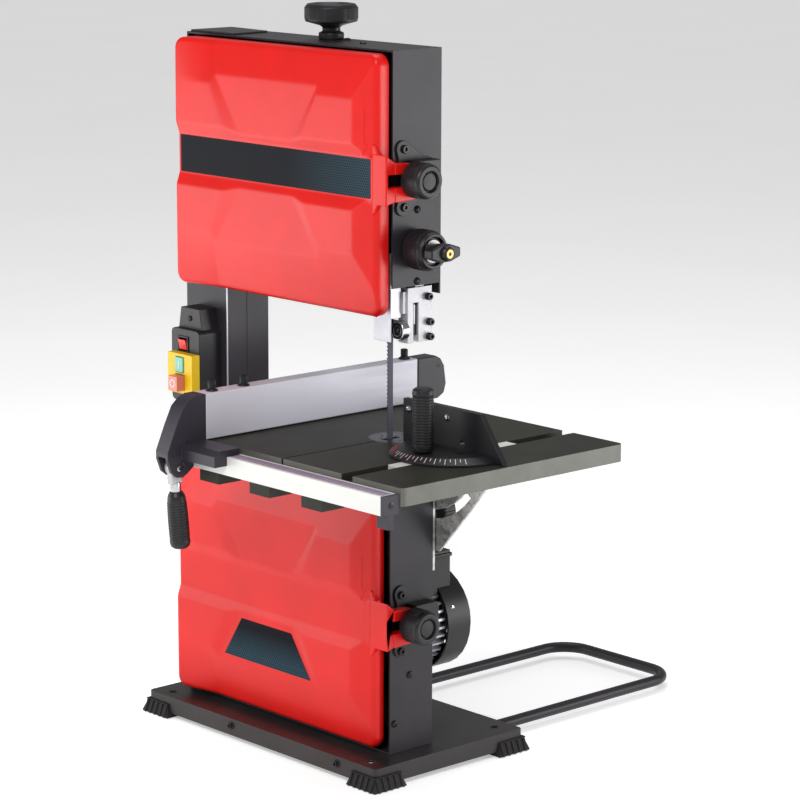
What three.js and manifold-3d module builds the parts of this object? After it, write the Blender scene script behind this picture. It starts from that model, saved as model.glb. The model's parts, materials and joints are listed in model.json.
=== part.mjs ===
// Bench-top band saw: two-wheel sheet-metal saw on a base pan, with a tilting table, rip fence,
// mitre gauge, sliding blade guide, hinged wheel doors and a motor behind the lower housing.
// Millimetres, +Z up. The operator stands at -Y, the throat opens to +X, and the drawing axes
// cross at the blade: x = 0, y = 0 is the middle of the blade, z = 0 is the floor.
import * as THREE from 'three';
import { mergeVertices } from 'three/addons/utils/BufferGeometryUtils.js';
import Module from 'manifold-3d';

const wasm = await Module();
wasm.setup();

// ---- driving dimensions ------------------------------------------------------------------
const GAP = 0.3;                 // clearance between pieces that touch
const SHEET = 2;                 // folded steel sheet
const BLADE = { width: 8, thick: 0.7 };
const WHEEL = { radius: 122, width: 18, tyre: 3, rise: 449, lowerZ: 160, sides: 36 };
const BAND_INNER = WHEEL.radius + 0.8;
const WHEEL_X = -(BAND_INNER + BLADE.thick / 2);
const UPPER_Z = WHEEL.lowerZ + WHEEL.rise;

const BASE = { left: -326.8, right: 44, front: -58.5, back: 149.7, top: 23.7, skirt: 5 };
const FOOT = { size: 40, flare: 7.4, height: 15 };
const LOWER = { left: -308, right: 19.1, front: -16, back: 42.6, bottom: 24, top: 290 };
const UPPER = { left: -303, right: 20.1, front: -15, back: 50, bottom: 482, top: 741.2 };
const COLUMN = { left: -308, right: -240, front: -15, back: 42.2 };
const UPPER_DOOR = { left: -293, right: 17.9, front: -41.1, back: -17.6, bottom: 478.3, top: 737.8 };
const LOWER_DOOR = { left: -303.7, right: 11.6, front: -38, back: -17.3, bottom: 30.2, top: 288 };
const HINGE = { inset: 6, y: -21, pin: 2, barrel: 4 };
const DOOR_WALL = 2.5;
const DOOR_RADIUS = 12;

const LATCH = { y: -3, knob: 18, shaft: 3, inner: 36.4, outer: 62 };
const LATCH_Z = { upper: 615.6, lower: 163.7 };

const TENSION = { y: 30, knob: 27.2, knobTop: 778, screw: 4, screwBottom: 643 };
const TRACK = { z: 632, pivotY: 30 };

const MOTOR = { x: -59, z: 134, body: 50, cover: 55, bodyBack: 87, coverBack: 124, shaft: 6 };
const PULLEY = { drive: 42, motor: 14, front: 14, back: 28 };
const BELT = { gap: 0.4, thick: 3, front: 16, back: 26 };

const TABLE = { left: -126, right: 174, front: -141.5, back: 158.5, top: 349.6, thick: 17.9 };
const INSERT = { y: 8, radius: 27.5, thick: 2.4, slot: 3.5, hole: 24 };
const MITRE = { x: 95.7, slot: 16, depth: 8, pivotY: -4, radius: 62, handleY: -43 };
const TRUNNION = { front: 48, thick: 3, slotRadius: 85, slotHalf: 4.6, from: -32, to: 50 };

const RAIL = { left: -130, right: 166, front: -162, back: -142, bottom: 325, top: 344 };
const FENCE = { left: -132.3, right: -112.7, front: -145.8, back: 142, bottom: 350.9, top: 397.6 };
const LEVER = { y: -180, z: 326, lean: 5 };

const GUIDE = { bottom: 450.3, rollerZ: 461, roller: 10, postX: 3, postY: 20.2, post: 12 };
const HEIGHT_KNOB = { y: 14, z: 544, radius: 20.5 };

const SWITCH = { left: -297, right: -250, front: -45, bottom: 352, top: 430 };

// ---- colours -----------------------------------------------------------------------------
const paint = (color, roughness, metalness = 0) =>
  new THREE.MeshStandardMaterial({ color, roughness, metalness });
const RED = paint(0xd8201a, 0.35);
const BLACK_SHEET = paint(0x2e2b33, 0.45, 0.2);
const BLACK_PLASTIC = paint(0x242227, 0.5);
const RUBBER = paint(0x1b1b1c, 0.9);
const ALUMINIUM = paint(0xc9c8d2, 0.4, 0.8);
const ZINC = paint(0xadaca6, 0.5, 0.7);
const STEEL = paint(0x77777c, 0.35, 0.9);
const CHROME = paint(0xd6d6d8, 0.15, 1);
const TABLE_PAINT = paint(0x55564f, 0.55, 0.3);
const YELLOW = paint(0xe3b800, 0.4);
const GREEN = paint(0x5dbf9f, 0.4);
const STOP_RED = paint(0xe0685c, 0.4);

// ---- geometry helpers --------------------------------------------------------------------
const rad = THREE.MathUtils.degToRad;

/** Twice three corners' signed volume, to tell an inside-out body. */
function signedVolume(position, triangles) {
  const a = new THREE.Vector3();
  const b = new THREE.Vector3();
  const c = new THREE.Vector3();
  let sum = 0;
  for (let i = 0; i < triangles.length; i += 3) {
    a.fromArray(position, 3 * triangles[i]);
    b.fromArray(position, 3 * triangles[i + 1]);
    c.fromArray(position, 3 * triangles[i + 2]);
    sum += a.dot(b.cross(c));
  }
  return sum;
}

/** A closed three.js geometry as a solid for joining and cutting. */
function solid(geometry) {
  const plain = geometry.clone();
  plain.deleteAttribute('normal');
  plain.deleteAttribute('uv');
  const merged = mergeVertices(plain, 1e-4);
  const position = merged.attributes.position.array;
  const triangles = [];
  for (let i = 0; i < merged.index.count; i += 3) {
    const [a, b, c] = merged.index.array.slice(i, i + 3);
    if (a !== b && b !== c && c !== a) {
      triangles.push(a, b, c);
    }
  }
  if (signedVolume(position, triangles) < 0) {
    triangles.reverse();
  }
  const triVerts = new Uint32Array(triangles);
  return new wasm.Manifold(new wasm.Mesh({ numProp: 3, vertProperties: position, triVerts }));
}

/** A solid back as a three.js geometry. */
function geometryOf(body) {
  const mesh = body.getMesh();
  const geometry = new THREE.BufferGeometry();
  geometry.setAttribute('position', new THREE.BufferAttribute(mesh.vertProperties, 3));
  geometry.setIndex(new THREE.BufferAttribute(mesh.triVerts, 1));
  geometry.computeVertexNormals();
  return geometry;
}

const join = (...bodies) => bodies.reduce((all, next) => all.add(next));
const cut = (body, ...tools) => tools.reduce((left, tool) => left.subtract(tool), body);

function box(x0, x1, y0, y1, z0, z1) {
  const geometry = new THREE.BoxGeometry(x1 - x0, y1 - y0, z1 - z0);
  geometry.translate((x0 + x1) / 2, (y0 + y1) / 2, (z0 + z1) / 2);
  return solid(geometry);
}

/** Turns a geometry drawn along +Z so that it runs along the named axis. */
function lay(geometry, axis) {
  const x = new THREE.Vector3(1, 0, 0);
  const y = new THREE.Vector3(0, 1, 0);
  const z = new THREE.Vector3(0, 0, 1);
  const bases = { x: [y, z, x], y: [x, z, y], z: [x, y, z] };
  const basis = new THREE.Matrix4().makeBasis(...bases[axis]);
  return geometry.applyMatrix4(basis);
}

/**
 * An outline of [a, b] points extruded from `from` to `to` along an axis. The outline's plane is
 * YZ for axis x, XZ for axis y and XY for axis z.
 */
function prism(axis, from, to, outline, holes = []) {
  const shape = new THREE.Shape(outline.map(([a, b]) => new THREE.Vector2(a, b)));
  for (const hole of holes) {
    shape.holes.push(new THREE.Path(hole.map(([a, b]) => new THREE.Vector2(a, b))));
  }
  const geometry = new THREE.ExtrudeGeometry(shape, { depth: to - from, bevelEnabled: false });
  geometry.translate(0, 0, from);
  return solid(lay(geometry, axis));
}

/** Points of an arc about [a, b], in degrees, both ends included. */
function arc(a, b, radius, fromDeg, toDeg, steps) {
  const points = [];
  for (let i = 0; i <= steps; i++) {
    const t = rad(fromDeg + ((toDeg - fromDeg) * i) / steps);
    points.push([a + radius * Math.cos(t), b + radius * Math.sin(t)]);
  }
  return points;
}

const circle = (a, b, radius, sides) => arc(a, b, radius, 0, 360 - 360 / sides, sides - 1);

function roundedRect(a0, a1, b0, b1, radius, steps = 4) {
  return [
    ...arc(a1 - radius, b0 + radius, radius, -90, 0, steps),
    ...arc(a1 - radius, b1 - radius, radius, 0, 90, steps),
    ...arc(a0 + radius, b1 - radius, radius, 90, 180, steps),
    ...arc(a0 + radius, b0 + radius, radius, 180, 270, steps),
  ];
}

function rod(axis, from, to, a, b, radius, sides = 16) {
  return prism(axis, from, to, circle(a, b, radius, sides));
}

/** A profile of [radius, height] points turned about an axis through the origin. */
function turned(axis, profile, sides = 20) {
  const points = profile.map(([radius, height]) => new THREE.Vector2(radius, height));
  const geometry = new THREE.LatheGeometry(points, sides);
  geometry.rotateX(Math.PI / 2);
  return solid(lay(geometry, axis));
}

const root = new THREE.Group();

/** Adds one named sub-part. The body is drawn about `at`, which places it. */
function part(parent, name, body, material, at = [0, 0, 0]) {
  const mesh = new THREE.Mesh(geometryOf(body), material);
  mesh.name = name;
  mesh.position.set(...at);
  parent.add(mesh);
  return mesh;
}

// ---- base --------------------------------------------------------------------------------
const TUBE = { radius: 6, z: 12, left: -178, right: -6, back: 440, bend: 35, root: 118 };

function basePan() {
  const outer = prism('z', BASE.skirt, BASE.top, roundedRect(BASE.left, BASE.right, BASE.front, BASE.back, 4, 2));
  const inner = box(BASE.left + SHEET, BASE.right - SHEET, BASE.front + SHEET, BASE.back - SHEET,
    BASE.skirt - 1, BASE.top - SHEET);
  const notches = [TUBE.left, TUBE.right].map((x) =>
    box(x - 6.6, x + 6.6, BASE.back - SHEET - 1, BASE.back + 1, BASE.skirt - 1, TUBE.z + 6.6));
  const holes = [];
  for (const x of [BASE.left + 24, BASE.right - 22]) {
    for (const y of [BASE.front + 14, BASE.back - 20]) {
      holes.push(rod('z', BASE.top - SHEET - 1, BASE.top + 1, x, y, 4, 12));
    }
  }
  return cut(outer, inner, ...notches, ...holes);
}

/** A rubber corner foot: a flared block with a seat for the pan's corner. */
function foot(sx, sy) {
  const x = sx < 0 ? BASE.left : BASE.right;
  const y = sy < 0 ? BASE.front : BASE.back;
  const outerX = x + sx * FOOT.flare;
  const outerY = y + sy * FOOT.flare;
  const low = [[x - sx * FOOT.size, y - sy * FOOT.size], [outerX, outerY]];
  const high = [[x - sx * (FOOT.size - 4), y - sy * (FOOT.size - 4)], [x + sx * 2.6, y + sy * 2.6]];
  const corners = [];
  for (const [[[ax, ay], [bx, by]], z] of [[low, 0], [high, FOOT.height]]) {
    corners.push([ax, ay, z], [bx, ay, z], [bx, by, z], [ax, by, z]);
  }
  const faces = [0, 2, 1, 0, 3, 2, 4, 5, 6, 4, 6, 7];
  for (let i = 0; i < 4; i++) {
    const j = (i + 1) % 4;
    faces.push(i, j, 4 + j, i, 4 + j, 4 + i);
  }
  const block = new THREE.BufferGeometry();
  block.setAttribute('position', new THREE.Float32BufferAttribute(corners.flat(), 3));
  block.setIndex(faces);
  const seat = box(BASE.left - GAP, BASE.right + GAP, BASE.front - GAP, BASE.back + GAP,
    BASE.skirt - GAP, FOOT.height + 1);
  return cut(solid(block), seat);
}

/** The bent tube behind the base that keeps the saw from tipping back. */
function stabiliserTube() {
  const { left, right, back, bend, root: start, z } = TUBE;
  const route = new THREE.CurvePath();
  const at = (x, y) => new THREE.Vector3(x, y, z);
  route.add(new THREE.LineCurve3(at(left, start), at(left, back - bend)));
  route.add(new THREE.QuadraticBezierCurve3(at(left, back - bend), at(left, back), at(left + bend, back)));
  route.add(new THREE.LineCurve3(at(left + bend, back), at(right - bend, back)));
  route.add(new THREE.QuadraticBezierCurve3(at(right - bend, back), at(right, back), at(right, back - bend)));
  route.add(new THREE.LineCurve3(at(right, back - bend), at(right, start)));
  const section = new THREE.Shape(circle(0, 0, TUBE.radius, 8).map(([a, b]) => new THREE.Vector2(a, b)));
  return solid(new THREE.ExtrudeGeometry(section, { steps: 44, extrudePath: route, bevelEnabled: false }));
}

const base = new THREE.Group();
root.add(base);
part(base, 'base_pan', basePan(), BLACK_SHEET);
part(base, 'foot_front_left', foot(-1, -1), RUBBER);
part(base, 'foot_front_right', foot(1, -1), RUBBER);
part(base, 'foot_rear_left', foot(-1, 1), RUBBER);
part(base, 'foot_rear_right', foot(1, 1), RUBBER);
part(base, 'stabiliser_tube', stabiliserTube(), BLACK_SHEET);

// ---- housings and column -----------------------------------------------------------------
/** A sheet box open to the front, with its back plate closed. */
function openBox(h) {
  const shell = box(h.left, h.right, h.front, h.back, h.bottom, h.top);
  const inside = box(h.left + SHEET, h.right - SHEET, h.front - 1, h.back - SHEET,
    h.bottom + SHEET, h.top - SHEET);
  return cut(shell, inside);
}

/** Three lugs with one long pin, welded to the housing's left front edge. */
function hingePin(housing, door) {
  const x = door.left - HINGE.inset;
  const [bottom, top] = [door.bottom + 24, door.top - 24];
  const middle = (bottom + top) / 2;
  const lugs = [bottom, middle, top].map((z) =>
    box(housing.left, x + 2.5, HINGE.y - 2.5, housing.front + 1, z - 5, z + 5));
  return join(rod('z', bottom - 4, top + 4, x, HINGE.y, HINGE.pin, 12), ...lugs);
}

function lowerHousing() {
  const column = box(COLUMN.left + 6, COLUMN.right - 3, -12, 38, LOWER.top - 3, LOWER.top + 1);
  const bladeWay = box(-9, 5, -14, 12, LOWER.top - 3, LOWER.top + 1);
  const shaftWay = rod('y', 30, 50, MOTOR.x, MOTOR.z, MOTOR.shaft + 4, 16);
  return join(cut(openBox(LOWER), column, bladeWay, shaftWay), hingePin(LOWER, LOWER_DOOR));
}

function upperHousing() {
  const column = box(COLUMN.left + 9, COLUMN.right - 3, -12, 38, UPPER.bottom - 1, UPPER.bottom + 3);
  const guideWay = box(-28, UPPER.right + 1, UPPER.front - 1, UPPER.back - SHEET, UPPER.bottom - 1, 506);
  const knobWay = rod('x', 10, 25, HEIGHT_KNOB.y, HEIGHT_KNOB.z, 6.6, 16);
  const screwWay = rod('z', UPPER.top - 4, UPPER.top + 1, WHEEL_X, TENSION.y, 5, 16);
  const trackWay = box(WHEEL_X - 5.5, WHEEL_X + 5.5, 40, 52, TRACK.z - 12, TRACK.z + 6);
  const wheelWay = box(WHEEL_X - 28, WHEEL_X + 28, -13, 13, UPPER.bottom - 1, UPPER.bottom + 3);
  const plateCorner = box(0, UPPER.right + 1, UPPER.back - SHEET - 1, UPPER.back + 1, UPPER.bottom - 1, 495);
  const ways = [column, guideWay, plateCorner, knobWay, screwWay, trackWay, wheelWay];
  const body = cut(openBox(UPPER), ...ways);
  return join(body, hingePin(UPPER, UPPER_DOOR));
}

function column() {
  const [z0, z1] = [LOWER.top + GAP, UPPER.bottom - GAP];
  const tube = box(COLUMN.left, COLUMN.right, COLUMN.front, COLUMN.back, z0, z1);
  return cut(tube, box(COLUMN.left + 1.5, COLUMN.right - 1.5, COLUMN.front + 1.5, COLUMN.back - 1.5,
    z0 - 1, z1 + 1));
}

/** The block under the table that steadies the blade. */
function lowerGuide() {
  const block = box(-11, 11, -12, 15, LOWER.top + GAP, LOWER.top + 13);
  return cut(block, box(-1.2, 1.2, -13, 5.5, LOWER.top - 1, LOWER.top + 14));
}

const frame = new THREE.Group();
root.add(frame);
part(frame, 'lower_housing', lowerHousing(), BLACK_SHEET);
part(frame, 'column', column(), BLACK_SHEET);
part(frame, 'upper_housing', upperHousing(), BLACK_SHEET);
part(frame, 'lower_guide', lowerGuide(), ALUMINIUM);

// ---- doors and latches -------------------------------------------------------------------
/** The nose that reaches past the housing's edge and forks over the latch screw. */
function latchNose(door, z) {
  const outline = [[door.front + 0.4, z + 27], [-20, z + 16], [2, z + 15], [2, z - 20], [-20, z - 21],
    [door.front + 0.4, z - 25]];
  const root0 = box(door.right - 5, 35, door.front + 0.4, door.back, z - 25, z + 27);
  const arm = prism('x', 23, 35, outline);
  const rootPart = root0.intersect(prism('x', door.right - 5, 35, outline));
  const slot = box(22, 36, -33, 3, z - 7, z + 6);
  return cut(join(arm, rootPart), slot);
}

function door(d, latchZ) {
  const outer = prism('y', d.front, d.back, roundedRect(d.left, d.right, d.bottom, d.top, DOOR_RADIUS));
  const inner = prism('y', d.front + DOOR_WALL, d.back + 1, roundedRect(d.left + DOOR_WALL,
    d.right - DOOR_WALL, d.bottom + DOOR_WALL, d.top - DOOR_WALL, DOOR_RADIUS - DOOR_WALL));
  const x = d.left - HINGE.inset;
  const middle = (d.bottom + d.top) / 2;
  const knuckles = [-1, 1].map((side) => {
    const z = middle + (side * (d.top - d.bottom - 48)) / 4;
    const web = box(x, d.left + 1, HINGE.y - 4, HINGE.y + 2, z - 22, z + 22);
    return join(rod('z', z - 22, z + 22, x, HINGE.y, HINGE.barrel, 16), web);
  });
  const bore = rod('z', d.bottom, d.top, x, HINGE.y, HINGE.pin + 0.5, 12);
  return join(cut(outer, inner), cut(join(...knuckles), bore), latchNose(d, latchZ));
}

/** Pressed bracket that holds the latch screw on the housing's right face. */
function latchBracket(housing, z) {
  const face = housing.right + GAP;
  const ears = prism('x', face, face + 2, [[-7, z + 37], [5, z + 37], [36, z + 18], [36, z - 20],
    [5, z - 37], [-7, z - 37]]);
  const block = prism('x', face + 1, 35.7, [[4, z + 25], [36, z + 17], [36, z - 19], [4, z - 20]]);
  const bore = rod('x', face - 1, 24, LATCH.y, z, LATCH.shaft + 0.6, 16);
  return cut(join(ears, block), bore);
}

/** A fluted clamping knob with its screw. */
function latchKnob(housing) {
  const { knob, shaft, inner, outer } = LATCH;
  return turned('x', [[0, housing.right + 0.8], [shaft, housing.right + 0.8], [shaft, inner],
    [knob - 2, inner], [knob, inner + 3], [knob, outer - 4], [knob - 3, outer], [10, outer],
    [9, outer - 3], [0, outer - 3]], 18);
}

const doors = new THREE.Group();
root.add(doors);
part(doors, 'upper_door', door(UPPER_DOOR, LATCH_Z.upper), RED);
part(doors, 'lower_door', door(LOWER_DOOR, LATCH_Z.lower), RED);
for (const [level, housing] of [['upper', UPPER], ['lower', LOWER]]) {
  part(doors, `${level}_latch_bracket`, latchBracket(housing, LATCH_Z[level]), BLACK_SHEET);
  part(doors, `${level}_latch_knob`, latchKnob(housing), BLACK_PLASTIC, [0, LATCH.y, LATCH_Z[level]]);
}

// ---- band wheels and blade ---------------------------------------------------------------
const HUB = { radius: 18, front: -11, back: 11, bore: 6.4 };

/** A cast wheel: rim, thin web with six windows, and a hub. Drawn about its own axis. */
function bandWheel(bore, pulley) {
  const rim = WHEEL.radius - WHEEL.tyre - GAP;
  const half = WHEEL.width / 2;
  const profile = [[bore, HUB.front], [HUB.radius, HUB.front], [HUB.radius, -3], [rim - 9, -3],
    [rim - 9, -half], [rim, -half], [rim, half], [rim - 9, half], [rim - 9, 3], [HUB.radius, 3],
    [HUB.radius, HUB.back], [bore, HUB.back], [bore, HUB.front]];
  const wheel = turned('y', profile, WHEEL.sides);
  const windows = [0, 1, 2, 3, 4, 5].map((i) => {
    const t = rad(60 * i + 30);
    return rod('y', -5, 5, 72 * Math.cos(t), 72 * Math.sin(t), 21, 12);
  });
  const casting = cut(wheel, ...windows);
  return pulley ? join(casting, pulley) : casting;
}

/** The belt pulley on the back of the lower wheel. */
function drivePulley(bore) {
  const { drive, front, back } = PULLEY;
  return turned('y', [[bore, HUB.back - 1], [HUB.radius, HUB.back - 1], [HUB.radius, front],
    [drive, front], [drive, back], [bore, back], [bore, HUB.back - 1]], WHEEL.sides);
}

function tyre() {
  const [inner, outer] = [WHEEL.radius - WHEEL.tyre, WHEEL.radius];
  const half = WHEEL.width / 2;
  return turned('y', [[inner, -half], [outer, -half], [outer, half], [inner, half], [inner, -half]],
    WHEEL.sides);
}

/** The endless band round both wheels, drawn about the lower wheel's axis. */
function sawBlade() {
  const loop = (radius) => [
    ...arc(0, WHEEL.rise, radius, 0, 180, WHEEL.sides / 2),
    ...arc(0, 0, radius, 180, 360, WHEEL.sides / 2),
  ];
  const half = BLADE.width / 2;
  return prism('y', -half, half, loop(BAND_INNER + BLADE.thick), [loop(BAND_INNER)]);
}

const AXLE = { upper: 6, lower: 7 };

/** The stub axle bolted to the lower housing's back plate. */
function lowerAxle() {
  const flange = LOWER.back - SHEET - GAP;
  const radius = AXLE.lower;
  return turned('y', [[0, -14], [radius + 3, -14], [radius + 3, -11.5], [radius, -11.5],
    [radius, flange - 6], [24, flange - 6], [24, flange], [0, flange]], 18);
}

const band = new THREE.Group();
band.position.set(WHEEL_X, 0, WHEEL.lowerZ);
root.add(band);
const lowerBore = AXLE.lower + 0.4;
part(band, 'lower_wheel', bandWheel(lowerBore, drivePulley(lowerBore)), ALUMINIUM);
part(band, 'lower_tyre', tyre(), RUBBER);
part(band, 'lower_axle', lowerAxle(), STEEL);
part(band, 'saw_blade', sawBlade(), STEEL);
part(band, 'upper_wheel', bandWheel(AXLE.upper + 0.4), ALUMINIUM, [0, 0, WHEEL.rise]);
part(band, 'upper_tyre', tyre(), RUBBER, [0, 0, WHEEL.rise]);

// ---- blade tension and tracking ----------------------------------------------------------
/** The channel on the housing's back plate in which the carriage slides. */
function carriageChannel() {
  const back = UPPER.back - SHEET - GAP;
  const outline = [[-36, back], [-36, 34], [-24, 34], [-24, 36.4], [-33.6, 36.4], [-33.6, back - 1.6],
    [33.6, back - 1.6], [33.6, 36.4], [24, 36.4], [24, 34], [36, 34], [36, back]];
  const channel = prism('z', UPPER_Z - 62, UPPER_Z + 106, outline);
  return cut(channel, box(-5.5, 5.5, 40, 50, TRACK.z - 12, TRACK.z + 6));
}

/** The slide that carries the upper wheel, with the ledge that the spring lifts. */
function wheelCarriage() {
  const plate = box(-32.6, 32.6, 37.4, 45.6, UPPER_Z - 50, UPPER_Z + 92);
  const ledge = box(-14, 14, 18, 38, UPPER_Z + 82, UPPER_Z + 90);
  const nut = box(-11, 11, 20, 38, UPPER_Z + 36, UPPER_Z + 50);
  const cheeks = [-1, 1].map((side) => {
    const [a, b] = [side * 20.5, side * 23.5].sort((p, q) => p - q);
    return box(a, b, 22, 38, UPPER_Z - 10, UPPER_Z + 10);
  });
  const screwBore = rod('z', UPPER_Z + 30, UPPER_Z + 95, 0, TENSION.y, TENSION.screw + 0.5, 16);
  const trackBore = rod('y', 36, 47, 0, TRACK.z, 4.6, 16);
  return cut(join(plate, ledge, nut, ...cheeks), screwBore, trackBore);
}

/** The block that tilts the upper axle to track the band, drawn about its tilt axis. */
function wheelCarrier() {
  const block = box(-19, 19, -14, 6.2, -19, 30);
  const trunnions = rod('x', -20.2, 20.2, 0, 0, 4, 10);
  const axle = rod('y', -TENSION.y - 14, -13, 0, 0, AXLE.upper, 18);
  const cap = rod('y', -TENSION.y - 16, -TENSION.y - 12, 0, 0, AXLE.upper + 3, 12);
  return join(block, trunnions, axle, cap);
}

/** The hand knob with its collar and long screw, drawn about the screw axis. */
function tensionKnob() {
  const { knob, knobTop, screw, screwBottom } = TENSION;
  const top = UPPER.top;
  return turned('z', [[0, screwBottom], [screw, screwBottom], [screw, top + GAP], [13.3, top + GAP],
    [13.3, top + 7], [9.5, top + 8.5], [9.5, top + 12], [knob - 8, knobTop - 20.5],
    [knob, knobTop - 18], [knob, knobTop - 3], [knob - 3, knobTop], [knob - 8, knobTop],
    [knob - 10, knobTop - 2.5], [0, knobTop - 2.5]], 24);
}

/** A coil of wire with flat ends, drawn about the screw axis. */
function tensionSpring() {
  const [turns, radius, wire] = [5, 5.8, 1];
  const [z0, z1] = [UPPER_Z + 50 + GAP + wire, UPPER_Z + 82 - GAP - wire];
  class Coil extends THREE.Curve {
    getPoint(t, target = new THREE.Vector3()) {
      const turn = 2 * Math.PI * turns * t;
      return target.set(radius * Math.cos(turn), radius * Math.sin(turn), z0 + (z1 - z0) * t);
    }
  }
  const section = new THREE.Shape(circle(0, 0, wire, 5).map(([a, b]) => new THREE.Vector2(a, b)));
  const coil = { steps: 8 * turns, extrudePath: new Coil(), bevelEnabled: false };
  return solid(new THREE.ExtrudeGeometry(section, coil));
}

/** The tracking knob behind the housing, with its screw, drawn about the screw axis. */
function trackingKnob() {
  return turned('y', [[0, 38.5], [4, 38.5], [4, UPPER.back + 4], [9, UPPER.back + 4],
    [9, UPPER.back + 10], [16, UPPER.back + 12], [16, UPPER.back + 26], [14, UPPER.back + 28],
    [0, UPPER.back + 28]], 16);
}

const tension = new THREE.Group();
tension.position.set(WHEEL_X, 0, 0);
root.add(tension);
part(tension, 'carriage_channel', carriageChannel(), ZINC);
part(tension, 'wheel_carriage', wheelCarriage(), STEEL);
part(tension, 'wheel_carrier', wheelCarrier(), STEEL, [0, TENSION.y, UPPER_Z]);
part(tension, 'tension_knob', tensionKnob(), BLACK_PLASTIC, [0, TENSION.y, 0]);
part(tension, 'tension_spring', tensionSpring(), STEEL, [0, TENSION.y, 0]);
part(tension, 'tracking_knob', trackingKnob(), BLACK_PLASTIC, [0, 0, TRACK.z]);

// ---- motor and belt ----------------------------------------------------------------------
/** The finned motor body, drawn about the shaft. */
function motorBody() {
  const fins = 18;
  const outline = [];
  for (let i = 0; i < fins; i++) {
    const t = (360 * i) / fins;
    outline.push(...arc(0, 0, MOTOR.body, t - 3, t + 3, 1), ...arc(0, 0, MOTOR.body - 6, t + 6, t + 14, 1));
  }
  const front = LOWER.back + GAP;
  const body = prism('y', front + 5, MOTOR.bodyBack, outline);
  const flange = prism('y', front, front + 6, roundedRect(-44, 44, -44, 44, 14, 3));
  return cut(join(body, flange), rod('y', front - 1, MOTOR.bodyBack + 1, 0, 0, MOTOR.shaft + 0.8, 16));
}

/** The vented cup over the motor's fan, drawn about the shaft. */
function fanCover() {
  const { cover, bodyBack, coverBack } = MOTOR;
  const front = bodyBack + GAP;
  const cup = turned('y', [[cover - 2.5, front], [cover, front], [cover, coverBack - 5],
    [cover - 5, coverBack], [0, coverBack], [0, coverBack - 2.5], [cover - 6, coverBack - 2.5],
    [cover - 2.5, coverBack - 6], [cover - 2.5, front]], 28);
  const vents = [0, 1, 2, 3, 4, 5].map((i) => {
    const z = -30 + 12 * i;
    const half = Math.sqrt((cover - 14) ** 2 - z * z);
    return box(-half, half, coverBack - 4, coverBack + 1, z - 2, z + 2);
  });
  return cut(cup, ...vents);
}

/** Shaft, belt pulley and fan, which turn as one, drawn about the shaft. */
function motorRotor() {
  const { motor, front, back } = PULLEY;
  const shaft = rod('y', front - 3, MOTOR.bodyBack + 20, 0, 0, MOTOR.shaft, 14);
  const pulley = turned('y', [[0, front], [motor + 4, front], [motor + 4, BELT.front - 0.8],
    [motor, BELT.front - 0.8], [motor, BELT.back + 0.8], [motor + 4, BELT.back + 0.8],
    [motor + 4, back], [0, back]], 18);
  const fanFront = MOTOR.bodyBack + 6;
  const blades = [0, 1, 2, 3, 4, 5].map((i) =>
    box(14, 44, fanFront, fanFront + 14, -1, 1).rotate([0, 60 * i, 0]));
  const disc = rod('y', fanFront, fanFront + 3, 0, 0, 44, 18);
  return join(shaft, pulley, disc, ...blades);
}

/** The capacitor and terminal box that saddles the motor, drawn about the shaft. */
function capacitorBox() {
  const cube = box(-3, 39, 56, 104, 24, 79);
  const body = rod('y', 50, MOTOR.bodyBack - 0.5, 0, 0, MOTOR.body + 0.6, 32);
  const cover = rod('y', MOTOR.bodyBack - 1, 110, 0, 0, MOTOR.cover + 0.6, 32);
  const lid = box(-4.5, 40.5, 54.5, 105.5, 72, 76);
  return cut(join(cube, lid), body, cover);
}

/** The ribbed belt, a band round the two pulleys, drawn about the drive pulley. */
function driveBelt() {
  const dx = MOTOR.x - WHEEL_X;
  const dz = MOTOR.z - WHEEL.lowerZ;
  const distance = Math.hypot(dx, dz);
  const aim = THREE.MathUtils.radToDeg(Math.atan2(dz, dx));
  const lean = THREE.MathUtils.radToDeg(Math.acos((PULLEY.drive - PULLEY.motor) / distance));
  const loop = (grow) => [
    ...arc(dx, dz, PULLEY.motor + grow, aim - lean, aim + lean, 6),
    ...arc(0, 0, PULLEY.drive + grow, aim + lean, aim + 360 - lean, 22),
  ];
  return prism('y', BELT.front, BELT.back, loop(BELT.gap + BELT.thick), [loop(BELT.gap)]);
}

const drive = new THREE.Group();
root.add(drive);
const motorAt = [MOTOR.x, 0, MOTOR.z];
part(drive, 'drive_belt', driveBelt(), RUBBER, [WHEEL_X, 0, WHEEL.lowerZ]);
part(drive, 'motor_rotor', motorRotor(), STEEL, motorAt);
part(drive, 'motor_body', motorBody(), ALUMINIUM, motorAt);
part(drive, 'fan_cover', fanCover(), BLACK_PLASTIC, motorAt);
part(drive, 'capacitor_box', capacitorBox(), BLACK_PLASTIC, motorAt);

// ---- table -------------------------------------------------------------------------------
const TABLE_BOTTOM = TABLE.top - TABLE.thick;

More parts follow.
